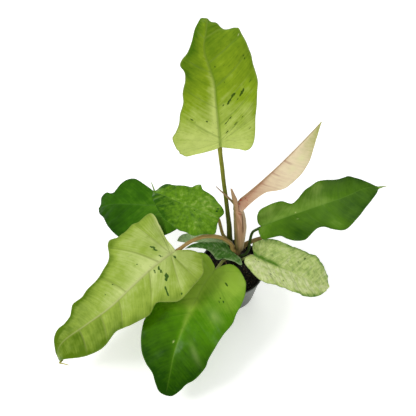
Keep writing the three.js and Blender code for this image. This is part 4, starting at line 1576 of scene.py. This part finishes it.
def make_leaves() -> dict[str, LeafBlade]:
    """The ten leaves, by name."""
    leaves = (
        LeafBlade(
            "leaf_1", "leaf_lime", LIME_LEAF,
            joint=(-23, 50, 326), heading=100, sweep=14, length=230, rise=(64, 48, -85), bend=(0.66, 0.9),
            turn=-26, droop=(-8, -45), fold=(6, 6), cup=(0.8, 0.8), back=10, hub=8, stations=34,
            wave=(2.5, 60, 4, 0.2, 0.6), drift=(0, 0, 0, 0, 1, -3, -6, 0, 3, 1, 0),
            right=(
                (10, -2), (20, -4), (29, -6), (36, -8), (43, -5), (48, 3), (51, 16), (53, 33), (56, 54),
                (58, 71), (61, 84), (60, 98), (58, 110), (57, 120), (53, 133), (48, 151), (44, 166),
                (37, 179), (25, 196), (11, 215)),
            left=(
                (-9, -2), (-21, -3.5), (-35, -5), (-47, -6.5), (-52, -5.5), (-56, -2), (-59, 0), (-60, 5),
                (-63, 9), (-67, 25), (-61, 34), (-55, 45), (-52, 58), (-46, 73), (-45, 87), (-39, 103),
                (-38, 114), (-42, 123), (-38, 130), (-29, 137), (-21, 149), (-15, 163), (-8, 175),
                (-4, 188), (-3, 208)),
            creases=(
                (0.19, 0.285, 0.4, 0.52, 0.655, 0.78, 0.88),
                (0.2, 0.3, 0.385, 0.45, 0.52, 0.6, 0.69, 0.78, 0.87)),
            tones=(
                ((0, 0.98), (0.15, 0.82), (0.3, 0.55), (0.45, 0.3), (0.6, 0.12), (0.75, 0.0), (1, 0.0)),
                ((0, 0.95), (0.12, 0.75), (0.35, 0.48), (0.55, 0.38), (0.7, 0.24), (0.85, 0.14), (1, 0))),
            # rib_tone's pale band on the left of the midrib is a painted highlight, and rib_lines draws a
            # painted shade line in the groove on its right.
            rib_radius=2.3, swell=1.2, pucker=0.8, fan_show=0.2, rib_tone=(0.5, -0.1), rib_spread=9,
            rib_lines=(0.1, 1.2),
            flecks=(
                Spot(19.5, 66, 1, 0.9, 4.5), Spot(24, 71.5, 1.4, 0.9, 2.2), Spot(26.5, 72.5, 1, 0.9, 2),
                Spot(17, 62, 0.9, 0.9, 4), Spot(35.5, 71, 1.1, 1, 3), Spot(38.5, 75.5, 1.4, 1, 3),
                Spot(21, 63, 0.6, 0.9, 4), Spot(30, 65.5, 0.8, 0.8, 2), Spot(-37, 47.5, 0.9, 1, 3),
                Spot(-33, 44, 0.8), Spot(-16, 41.5, 1, 1, 2.6), Spot(5, 113, 1, 0.9, 2),
                Spot(14, 90.5, 0.8, 0.8, 3), Spot(11, 35, 0.8, 0.8, 5), Spot(17, 41, 0.8, 0.9, 4),
                Spot(11.5, 22, 0.8, 0.9, 4), Spot(-38, 59.5, 0.8, 0.8, 2), Spot(46, 121, 0.8, 0.8, 3),
                Spot(47, 116, 0.8, 0.8, 2), Spot(51, 86, 0.8, 0.8, 4), Spot(9, 60, 0.8, 0.8, 5),
                Spot(44, 23, 0.8, 0.7, 4), Spot(-11, 55.5, 0.8, 0.8), Spot(24, 33, 0.7, 0.7, 7),
                Spot(34, 41, 0.7, 0.6, 6)),
            specks_and_sheen=(Spot(42.5, 150, 0.7),),
            bumps=(Spot(9, 190, 4, -3, 3, 90), Spot(28, 188, 8, -5.5, 3, 90)),
        ),
        LeafBlade(
            "leaf_2", "leaf_cream", CREAM_LEAF,
            joint=(5, 10, 254), heading=17, sweep=16, length=166, rise=(43, 43, 40), bend=(0.5, 0.98),
            fold=(-68, -68), cup=(0, 0), back=100, hub=5, notch=-2, stations=24, wave=(0, 40, 2, 0, 0.3),
            right=(
                (5, -7), (9, -14), (13, -18), (17, -16), (18, -6), (17, 6), (17, 22), (20, 37), (29, 48),
                (37, 60), (39, 76), (39, 91), (35, 106), (30, 118), (16, 140), (6, 156)),
            left=(
                (-5, -7), (-9, -13), (-13, -15), (-15, -10), (-16, 6), (-16, 22), (-19, 37), (-26, 48),
                (-34, 62), (-36, 84), (-33, 104), (-26, 122), (-14, 142), (-5, 157)),
            creases=((0.26, 0.3, 0.37, 0.46, 0.56, 0.67),),
            tones=(((0, 0.05), (0.2, 0.24), (0.4, 0.45), (0.66, 0.55), (0.85, 0.8), (1, 1.1)),),
            rib_radius=2.0, swell=0.2, pucker=0.5, pucker_mm=22, crease_width=0.3, fan_show=1,
            edge_tone=0.06, rib_tone=(-0.3, -0.3), rib_spread=5, vein_reach=0.5,
            flecks=(
                Spot(2, 3, 1.4, 1, 1.6), Spot(5, -4, 1.3, 1, 1.4), Spot(3, 10, 1.1, 0.9, 2, -20),
                Spot(8.4, 9, 0.9, 0.8, 2, -20)),
            # Both specks are painted highlights.
            specks_and_sheen=(Spot(18, 109, 6, 0.3), Spot(20, 88, 6, 0.15)),
        ),
        LeafBlade(
            "leaf_3", "leaf_dark", DARK_LEAF,
            joint=(44, 12, 185), heading=6, sweep=22, length=214, rise=(24, -8, -20), bend=(0.7, 1),
            fold=(8, 8), cup=(1.2, 1.2), back=10, hub=8, stations=32, wave=(2.5, 50, 4, 0.2, 0.6),
            drift=(0, -1.5, -2, -2, -2.5, -5.5, 0),
            right=(
                (6, -6), (17, -5), (27, -1), (29, 12), (31, 25), (38, 32), (45, 42), (50, 55), (48, 62),
                (42, 71), (38, 80), (40, 89), (47, 98), (53, 108), (54, 115), (50, 125), (41, 140),
                (30, 156), (20, 173), (11, 188), (3, 199), (1.5, 207)),
            left=(
                (-4, -4), (-12, -5), (-21, -3), (-29, 3), (-32, 14), (-32, 30), (-30, 43), (-23, 52),
                (-21, 58), (-26, 68), (-35, 82), (-40, 98), (-44, 112), (-43, 125), (-37, 140), (-35, 153),
                (-34, 164), (-24, 179), (-13, 191), (-4, 200), (-1.5, 207)),
            creases=((0.17, 0.3, 0.4, 0.5, 0.6, 0.7, 0.8),),
            tones=(
                ((0, 0.55), (0.25, 0.62), (0.5, 0.5), (0.8, 0.22), (0.93, 0.2), (1, 1.3)),
                ((0, 0.5), (0.2, 0.28), (0.45, 0.36), (0.7, 0.2), (0.93, 0.2), (1, 1.3))),
            rib_radius=1.8, swell=0.6, pucker=0.5, pucker_mm=20,
            patches=(
                Spot(-24, 20, 10, 0.2, 1.6), Spot(-36, 104, 9, 0.25, 1.8), Spot(44, 110, 9, 0.22, 1.8),
                Spot(36, 52, 13, -0.2), Spot(0, 100, 16, 0.12), Spot(0, 205, 7, 0.5)),
            specks_and_sheen=(Spot(-4, 57, 0.7, 0.5), Spot(9.5, 56.5, 0.7, 0.5)),
        ),
        LeafBlade(
            "leaf_4", "leaf_pale", PALE_LEAF,
            joint=(36, -2, 124), heading=-16, sweep=6, length=143, rise=(-10, -24, -45), bend=(0.6, 1),
            fold=(6, 6), cup=(1, 1), hub=7, stations=28, wave=(1.5, 42, 4, 0.2, 0.6),
            drift=(2, 5, 7.5, 9.5, 11, 11, 4),
            right=(
                (6, -7), (12, -12), (18, -13), (25, -11), (31, -3), (38, 7), (43, 16), (46, 30), (44, 48),
                (44, 66), (45, 83), (46, 92), (43, 102), (37, 113), (29, 123), (17, 133)),
            left=(
                (-5, -4), (-14, -8), (-23, -6), (-29, 3), (-36, 18), (-40, 34), (-38, 50), (-37, 67),
                (-39, 85), (-38, 99), (-34, 109), (-28, 118), (-22, 128), (-14, 136), (-7, 136)),
            creases=((0.2, 0.36, 0.48, 0.58, 0.67, 0.76, 0.86),),
            tones=(((0, 0.45), (0.5, 0.5), (1, 0.45)), ((0, 0.7), (0.5, 0.65), (1, 0.6))),
            rib_radius=1.8, swell=0.6, pucker=2.0, pucker_mm=11, crinkle=(0.7, 10), fan_show=0.2,
            edge_tone=-0.15, rib_tone=(-0.55, -0.55), rib_spread=4.5, rib_until=0.5,
            bands=(
                EdgeBand(Half.LEFT, 0.2, 0.95, 0.97, -0.35), EdgeBand(Half.RIGHT, 0.62, 0.9, 0.88, -0.3)),
            flecks=(
                Spot(-24.5, 85.5, 1.5, 1, 1.7), Spot(-13, 74.5, 1.2), Spot(26, 33, 1.1), Spot(31, 55, 1.2),
                Spot(9, 3.5, 1, 0.9), Spot(12.5, 9, 1, 0.9)),
        ),
        LeafBlade(
            "leaf_5", "leaf_fresh", FRESH_LEAF,
            joint=(-29, -28, 118), heading=233, sweep=30, length=218, rise=(0, -34, -50), bend=(0.6, 1),
            fold=(6, 6), cup=(1.2, 1.2), back=10, hub=8, stations=32, wave=(2, 62, 3.5, 0.3, 0),
            drift=(0, -1, -3, -3, -2, -2.5, 0),
            right=(
                (5, -5), (13, -9), (21, -12), (30, -13), (39, -10), (52, 0), (62, 18), (67, 42), (67, 68),
                (61, 90), (57, 106), (59, 118), (57, 132), (53, 147), (47, 161), (37, 174), (25, 185),
                (18, 199), (11, 212)),
            left=(
                (-3, -9), (-8, -18), (-14, -24), (-22, -26), (-31, -25), (-40, -21), (-48, -16), (-55, -10),
                (-62, 2), (-67, 14), (-70, 32), (-70, 50), (-72, 72), (-66, 98), (-61, 122), (-56, 145),
                (-55, 157), (-49, 171), (-41, 183), (-30, 193), (-21, 206), (-10, 217)),
            creases=((0.15, 0.3, 0.42, 0.5, 0.57, 0.64, 0.71, 0.78, 0.86),),
            tones=(
                ((0, 0.85), (0.15, 0.74), (0.3, 0.58), (0.5, 0.44), (0.75, 0.16), (1, 0.02)),
                ((0, 1.0), (0.2, 0.86), (0.35, 0.6), (0.5, 0.42), (0.7, 0.18), (1, -0.04))),
            # rib_tone's pale band along the midrib is partly the rib's paler colour and partly a painted
            # highlight in its groove.
            rib_radius=2.4, swell=0.45, pucker=0.6, pucker_mm=20, fan_show=0.15, rib_tone=(0.3, 0.3),
            rib_spread=5, rib_until=1.15,
            # The patch at (34, 34) is painted light over the shade that leaf_6 throws here.
            patches=(
                Spot(34, 34, 26, 0.25), Spot(-40, -2, 22, 0.22), Spot(-30, 30, 14, 0.08, 2, 30),
                Spot(4, 66, 14, 0.3)),
            flecks=(
                Spot(-32.5, 13.5, 1, 0.9, 3), Spot(-36, 39.5, 1.2), Spot(-43, 43, 1.4, 1, 1.6),
                Spot(-29, 106, 1, 0.8), Spot(-31, 115, 1, 0.8), Spot(-30, 12, 1.1, 0.8, 4, 20),
                Spot(-37, 46, 1, 0.8, 3, 50)),
            # The specks at (-43, 73) and (-33, 141) are a painted sheen patch and a painted sheen streak; the
            # one at (4, 133.5) is a pale speck.
            specks_and_sheen=(Spot(4, 133.5, 0.9), Spot(-43, 73, 8, 0.1, 1.7, 30), Spot(-33, 141, 4.5, 0.07, 4, 54)),
        ),
        LeafBlade(
            "leaf_6", "leaf_pale_lime", PALE_LIME_LEAF,
            joint=(-92, -17, 160), heading=213, sweep=10, length=270, rise=(-14, -24, -90),
            bend=(0.8, 0.98), fold=(6, 6), cup=(1.2, 1.2), back=20, hub=9, stations=36,
            wave=(2.5, 65, 4, 0.1, 0.5), drift=(0, -1, -5, -7.5, -1.5, 6, 0),
            right=(
                (10, 0), (22, 1), (36, 0), (56, -3), (70, -5), (81, -3), (84, 8), (84, 20), (90, 31),
                (86, 42), (84, 52), (82, 62), (86, 73), (80, 80), (65, 87), (57, 95), (52, 107), (47, 120),
                (44, 131), (42, 146), (38, 159), (40, 175), (34, 184), (28, 191), (26, 204), (27, 217),
                (23, 228), (13, 240), (4, 255)),
            left=(
                (-7, -9), (-18, -21), (-33, -28), (-50, -21), (-62, -13), (-71, 11), (-75, 30), (-74, 44),
                (-63, 59), (-54, 73), (-62, 91), (-61, 104), (-56, 122), (-49, 139), (-46, 150), (-49, 166),
                (-51, 180), (-47, 196), (-36, 216), (-20, 234), (-10, 246), (-4, 259)),
            creases=((0.235, 0.325, 0.485, 0.62, 0.705, 0.8), (0.2, 0.3, 0.45, 0.585)),
            tones=(
                ((0, 0.64), (0.25, 0.55), (0.45, 0.42), (0.6, 0.27), (0.8, 0.17), (1, 0.06)),
                ((0, 0.6), (0.2, 0.64), (0.4, 0.5), (0.52, 0.34), (0.7, 0.22), (0.85, 0.14), (1, 0.06))),
            rib_radius=2.8, swell=1.5, pucker=0.7, fan_show=0.7, panel=(-0.36, 0.28), edge_tone=-0.25,
            # rib_lines draws a painted shade line along the left half's side of the midrib.
            rib_tone=(0.12, 0.36), rib_spread=20, rib_lines=(0.7, 0), rib_until=1.1, vein_power=0.84,
            # The first two bands are painted shade: a broad one near the tip in place of a turned-down
            # margin, and a thin painted shadow line along the right half's margin.
            bands=(
                EdgeBand(Half.RIGHT, 0.85, 1.1, 0.62, -0.6), EdgeBand(Half.RIGHT, 0.4, 0.84, 0.95, -0.25),
                EdgeBand(Half.RIGHT, 0.0, 0.2, 0.94, 0.4)),
            flecks=(
                Spot(29, 28, 1.4, 1, 2, 20), Spot(21, 25, 1.6, 1, 2.4, 20), Spot(25, 24, 1, 0.9, 2, 20),
                Spot(7.5, 25.5, 1.2, 0.9, 2.4, 20), Spot(3.7, 23, 1, 0.9, 2, 20),
                Spot(-10, 7, 1.6, 1, 2, 0), Spot(-9, 37.5, 1.5, 1, 2.6, 20),
                Spot(-17, 37.5, 1.5, 1, 2.6, 20), Spot(-9.5, 46, 1.2, 1, 3.4, 20),
                Spot(-28, 35, 2.4, 1, 2, 15), Spot(-33.5, 38.5, 1.8, 1, 1.6, 15),
                Spot(-31, 33, 1.2, 1, 1.5, 15), Spot(-46, 48, 1.5, 1, 3.6, 15),
                Spot(-54.5, 50, 1.3, 1, 3, 15), Spot(19.5, 61.5, 1.1, 0.6, 2), Spot(19.5, 109.5, 1, 0.9),
                Spot(13.5, 128.5, 1, 0.9), Spot(-68, 32, 1.3, 1, 2, 15)),
            specks_and_sheen=(Spot(40, -1, 2.2, 0.6, 16, -5),),
        ),
        LeafBlade(
            "leaf_7", "leaf_deep", DEEP_LEAF,
            joint=(-101, 79, 150), heading=170, sweep=5, length=142, rise=(-4, -22, -38), bend=(0.6, 1),
            fold=(6, 6), cup=(1, 1), hub=6, stations=30, wave=(2, 60, 4, 0.2, 0.6),
            drift=(0, -2, -3, -1, 1, 4, 4),
            right=(
                (9, -8), (24, -10), (38, 2), (44, 17), (38, 27), (26, 34), (21, 41), (23, 48), (32, 57),
                (41, 64), (50, 69), (55, 77), (53, 89), (48, 98), (39, 105), (30, 112), (29, 119),
                (33, 127), (32, 134), (25, 139), (12, 138)),
            left=(
                (-8, -10), (-26, -21), (-42, -23), (-53, -17), (-63, -5), (-69, 12), (-72, 33), (-72, 56),
                (-69, 78), (-61, 91), (-49, 103), (-37, 112), (-24, 121), (-11, 134)),
            creases=((0.2, 0.4, 0.58, 0.68, 0.78, 0.88),),
            tones=(((0, 0.7), (0.3, 0.6), (0.6, 0.3), (1, 0.25)), ((0, 0.6), (0.5, 0.5), (1, 0.4))),
            rib_radius=1.8, swell=0.7, pucker=0.6, pucker_mm=18,
        ),
        LeafBlade(
            "leaf_8", "leaf_mottled", MOTTLED_LEAF,
            joint=(-68, 27, 216), heading=150, sweep=-14, length=82, rise=(-5, -22, -38), bend=(0.6, 1),
            fold=(4, 4), cup=(2, 2), back=30, hub=4, notch=-49, stations=32, wave=(2, 48, 4, 0.2, 0.6),
            right=(
                (5, -51), (12, -53), (18, -50), (23, -43), (28, -34), (34, -24), (37, -13), (38, -1),
                (42, 4), (47, 9), (46, 15), (41, 19), (35, 22), (32, 36), (28, 50), (24, 61), (16, 72),
                (7, 79)),
            left=(
                (-5, -50), (-12, -51), (-21, -53), (-28, -53), (-34, -44), (-40, -36), (-45, -29),
                (-44, -16), (-46, -7), (-45, 1), (-42, 10), (-39, 21), (-33, 34), (-24, 49), (-14, 65),
                (-5, 76)),
            creases=((0.2, 0.35, 0.5, 0.66, 0.76, 0.87),),
            tones=(((-0.5, 0.42), (0.1, 0.36), (0.4, 0.18), (1, 0.12)), ((-0.5, 0.42), (1, 0.36))),
            rib_radius=1.5, swell=0.35, pucker=0.9, pucker_mm=12, fan_show=0.12,
            # The patch at (40, 10) is a painted sheen band on the raised ear.
            patches=(
                Spot(22, -20, 20, 0.14), Spot(40, 10, 6, 0.25), Spot(17, 68, 5, -0.6),
                Spot(-36, -20, 12, 0.12)),
            flecks=(
                Spot(15.5, -41.5, 1.4, 1, 1.5), Spot(10, -41.5, 1.4, 1, 1.5), Spot(3, -49.5, 1.2),
                Spot(-4, -10, 0.9)),
            bumps=(Spot(41, 8, 6, 3.0), Spot(39, 16, 5, 2.5), Spot(18, 68, 5, 1.5)),
        ),
        LeafBlade(
            "leaf_9", "leaf_blue", BLUE_LEAF,
            joint=(6, 0.5, 113.5), heading=150, sweep=42, length=88, rise=(6, 3, -8), bend=(0.5, 1),
            fold=(-4, 4), cup=(1, 1), hub=5, notch=-9, stations=26, wave=(0.8, 25, 3, 0.1, 0.6),
            right=(
                (1, -8), (2, -3), (3, 3), (6, 9), (8, 15), (13, 22), (18, 31), (16, 40), (13, 51), (8, 66),
                (4, 79)),
            left=(
                (-2, -12), (-7, -17), (-10, -13), (-10, -2), (-13, 10), (-14, 18), (-19, 26), (-18, 32),
                (-13, 38), (-7, 47), (-4, 57), (-2, 68), (-1, 79)),
            creases=((0.25, 0.45, 0.62, 0.8),),
            tones=(((0, 0.46), (1, 0.5)),),
            rib_radius=1.2, swell=0.8, pucker=0.8, pucker_mm=10, edge_tone=0.3,
        ),
        LeafBlade(
            "leaf_10", "leaf_grey", GREY_LEAF,
            joint=(-17, 19, 134), heading=178, sweep=0, length=76, rise=(6, -10, -20), bend=(0.5, 1),
            fold=(4, 4), cup=(3, 3), hub=4, stations=18, wave=(0.5, 14, 3, 0.2, 0.7),
            right=((5, -1), (9, 8), (12, 22), (13, 38), (12, 52), (11, 64), (7, 72)),
            left=((-3, -1), (-5, 8), (-6, 24), (-6, 42), (-6, 60), (-3, 71)),
            creases=((0.35, 0.6, 0.8),),
            tones=(((0, 0.5), (1, 0.5)),),
            rib_radius=1.0, swell=0.3, pucker=0.4, pucker_mm=10,
        ),
    )
    return {leaf.name: leaf for leaf in leaves}


def make_stalks(leaves: dict[str, LeafBlade]) -> tuple[Stalk, ...]:
    """The stalks, each with the leaf that it carries.

    Args:
        leaves: The leaves, by name.

    Returns:
        The stalks in the order in which they are built.
    """
    return (
        Stalk(
            "stalk_1", "stalk_olive",
            StalkFinish("olive stalk skin", "323E04", "505A0A", "8A8C2C"),
            radii=(3.1, 4.8, 4.1, 3.6, 3.4, 3.3, 3.1), leaf=leaves["leaf_1"], lead=9,
            route=((8.5, 12, 102), (1, 17, 111), (-3, 18.7, 126.4), (-5, 19.7, 143.4), (-6.5, 20.6, 173),
                (-10, 25, 206), (-13.5, 31, 238), (-17, 36.5, 265), (-19.5, 42, 288)),
        ),
        Stalk(
            "stalk_3", "stalk_green",
            StalkFinish("dark green stalk skin", "22340A", "2C440E", "3A5A16"),
            radii=(2.3, 2.4, 2.2), leaf=leaves["leaf_3"], lead=7,
            route=((8.4, 13, 101), (15.5, 7, 106), (21.6, 5, 113), (26.3, 7, 122), (27.5, 10.4, 136),
                (28.6, 13, 151), (31.5, 14, 166)),
        ),
        Stalk(
            "stalk_4", "stalk_olive",
            StalkFinish("pale olive stalk skin", "4A5A24", "8A9656", "A8B070"),
            radii=(2.2, 1.9), leaf=leaves["leaf_4"], lead=4,
            route=((8.3, 14, 90), (14, 5, 96), (20, 1.5, 105), (27, 0, 114)),
        ),
        Stalk(
            "stalk_5", "stalk_olive",
            StalkFinish("pale olive stalk skin", "56562C", "8A8E4C", "A0AC58"),
            radii=(2.2, 2.7), leaf=leaves["leaf_5"], lead=5,
            route=((8.2, 14.5, 84), (0, 10, 92), (-8, 4, 100), (-15.3, -4, 107)),
        ),
        Stalk(
            "stalk_6", "stalk_tan",
            StalkFinish("tan stalk skin", "8E7840", "B89C5C", "A07E4C"),
            radii=(3.4, 2.9), leaf=leaves["leaf_6"], lead=8,
            route=((8.7, 11, 112), (0.5, 8, 124), (-2.5, 7.7, 140), (-11.4, 7.7, 152), (-21, 6.7, 161),
                (-34.6, 4, 168), (-48.4, 1.7, 170), (-62, -2.6, 168), (-74, -7.5, 164)),
        ),
        Stalk(
            "stalk_7", "stalk_green",
            StalkFinish("green stalk skin", "2A4412", "3A6420", "427026"),
            radii=(2.2, 1.9), leaf=leaves["leaf_7"], lead=8,
            route=((8.5, 13.8, 92), (4, 23, 95), (-7, 28, 103), (-20, 29, 109), (-42, 33, 118),
                (-62, 42, 131), (-83, 59, 142)),
        ),
        Stalk(
            "stalk_8", "dry_stalk",
            StalkFinish("drying stalk skin", "766632", "9C8A46", "8C8244"),
            radii=(2.2, 3.1, 3, 2.6, 2.2, 1.8), leaf=leaves["leaf_8"], lead=6,
            route=((8.4, 13.5, 98), (4.5, 22.5, 104), (-2, 26.5, 112.7), (-8.6, 27.2, 125.4),
                (-15.4, 26.2, 139.4), (-20, 29, 160), (-24.5, 31, 180), (-36, 33, 196), (-52, 30, 207)),
        ),
        Stalk(
            "stalk_9", "stalk_green",
            StalkFinish("green stalk skin", "2A4412", "34601C", "3C6B34"),
            radii=(1.5, 1.3), leaf=leaves["leaf_9"], lead=2,
            route=((8.4, 13.2, 92), (8.4, 3, 99), (8.6, 0, 106)),
        ),
        Stalk(
            "stalk_10", "stalk_olive",
            StalkFinish("pale stalk skin", "7A8050", "9AA262", "A8B480"),
            radii=(1, 1), leaf=leaves["leaf_10"], lead=3,
            route=((8.6, 13, 112), (3, 13.7, 119), (-1.5, 13.1, 126.5), (-8.5, 14.3, 130.5)),
        ),
        Stalk(
            "old_stalk", "dry_stalk",
            StalkFinish("dry stalk skin", "665628", "8A7848", "7A6238", 0.7, 0.35),
            radii=(4.8, 4.2, 3.6, 2.8, 2), flare=0,
            route=((8.8, 12, 112), (15, 15, 116), (23, 16.6, 126.4), (38.4, 17.2, 138.2), (51, 17.4, 145),
                (66, 17.5, 150)),
        ),
        Stalk(
            "dry_sliver", "dry_stalk",
            StalkFinish("dry stalk skin", "6E5032", "8A6A44", "7A5A3A", 0.7, 0.35),
            radii=(0.7, 0.5), flare=0,
            route=((-12, -3.5, 103.4), (-9, -7, 99.5), (-5.5, -10, 97)),
        ),
        Stalk(
            "stalk_2", "stalk_pink", StalkFinish("young pink stalk skin", "B89878", "D4A890", "E0B8A0"),
            radii=(3.4, 2.2), flare=0,
            route=((9.6, 10, 123.2), (8.3, 10, 150), (7, 10, 180), (5, 10, 208), (4, 10, 226),
                (4.4, 10, 241)),
        ),
    )


def make_sheaths() -> tuple[Sheath, ...]:
    """The two sheaths round the newest leaf's stalk."""
    return (
        Sheath(
            "sheath_left",
            sections=((10.4, 10, 123.5, 5.2, 70, 305), (8.5, 10, 150, 6, 75, 300),
                (6.8, 10, 186, 6.3, 85, 290), (4.8, 10, 220, 6.2, 100, 265), (2, 11, 243, 4.6, 140, 188),
                (-10.5, 11.5, 262, 3, 130, 260), (-28, 12, 285, 1.2, 150, 240)),
        ),
        Sheath(
            "sheath_right", slit=((0.34, 0.3), (0.44, 0.34), (0.56, 0.5)), blush=(0.59, 0.46),
            sections=((10.6, 10, 123.5, 7.1, -95, 5), (10, 10, 137, 8.4, -95, 10),
                (9.3, 10, 157, 9.9, -100, 45), (8.6, 10, 185, 11.2, -105, 45), (6.8, 10, 208, 10.6, -110, 50),
                (5.2, 10, 227, 8, -125, 35), (4, 10.5, 236, 7.2, -160, -80), (3, 11, 246, 6.6, -155, -78),
                (-1.2, 11.4, 262, 4.6, -170, -50), (-6.5, 12, 281, 1.4, -170, -60)),
        ),
    )


def main() -> None:
    """Builds the plant in its pot round the frame, then the studio."""
    logging.basicConfig(level=logging.INFO, format="%(message)s")
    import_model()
    pot = NurseryPot()
    pot.build()
    PottingMix(pot).build()
    Stem().build()
    leaves = make_leaves()
    for stalk in make_stalks(leaves):
        stalk.build()
    for sheath in make_sheaths():
        sheath.build()
    for leaf in leaves.values():
        leaf.build()
    DriedTip(
        leaves["leaf_6"], ((3, 3, 2), (0, 0, -0.5), (-2, -1, -2), (4, -2, -3), (13, -3, -7)),
        (2.2, 1.4, 0.9, 0.8, 0.5),
    ).build()
    DriedTip(
        leaves["leaf_8"], ((6, -1, -0.5), (3, 0, 0.5), (1.5, 3, 4), (-0.5, 7, 9), (-2.5, 10, 14)),
        (1.6, 1.4, 1.1, 0.9, 0.4), StalkFinish("green drip tip", "4E7A1E", "6E9230", "8CA850", 0.5, 0.15),
    ).build()
    DriedTip(
        leaves["leaf_3"], ((-7, 0, -0.2), (-3, 0, 0.1), (1, 0.4, 0.5), (5, 1, 1)), (1.2, 1.1, 0.8, 0.4),
        StalkFinish("green drip tip of the dark leaf", "6E9230", "86A03C", "A4B050", 0.5, 0.15),
    ).build()
    Studio().build()
    bpy.context.view_layer.update()


if __name__ == "__main__":
    main()
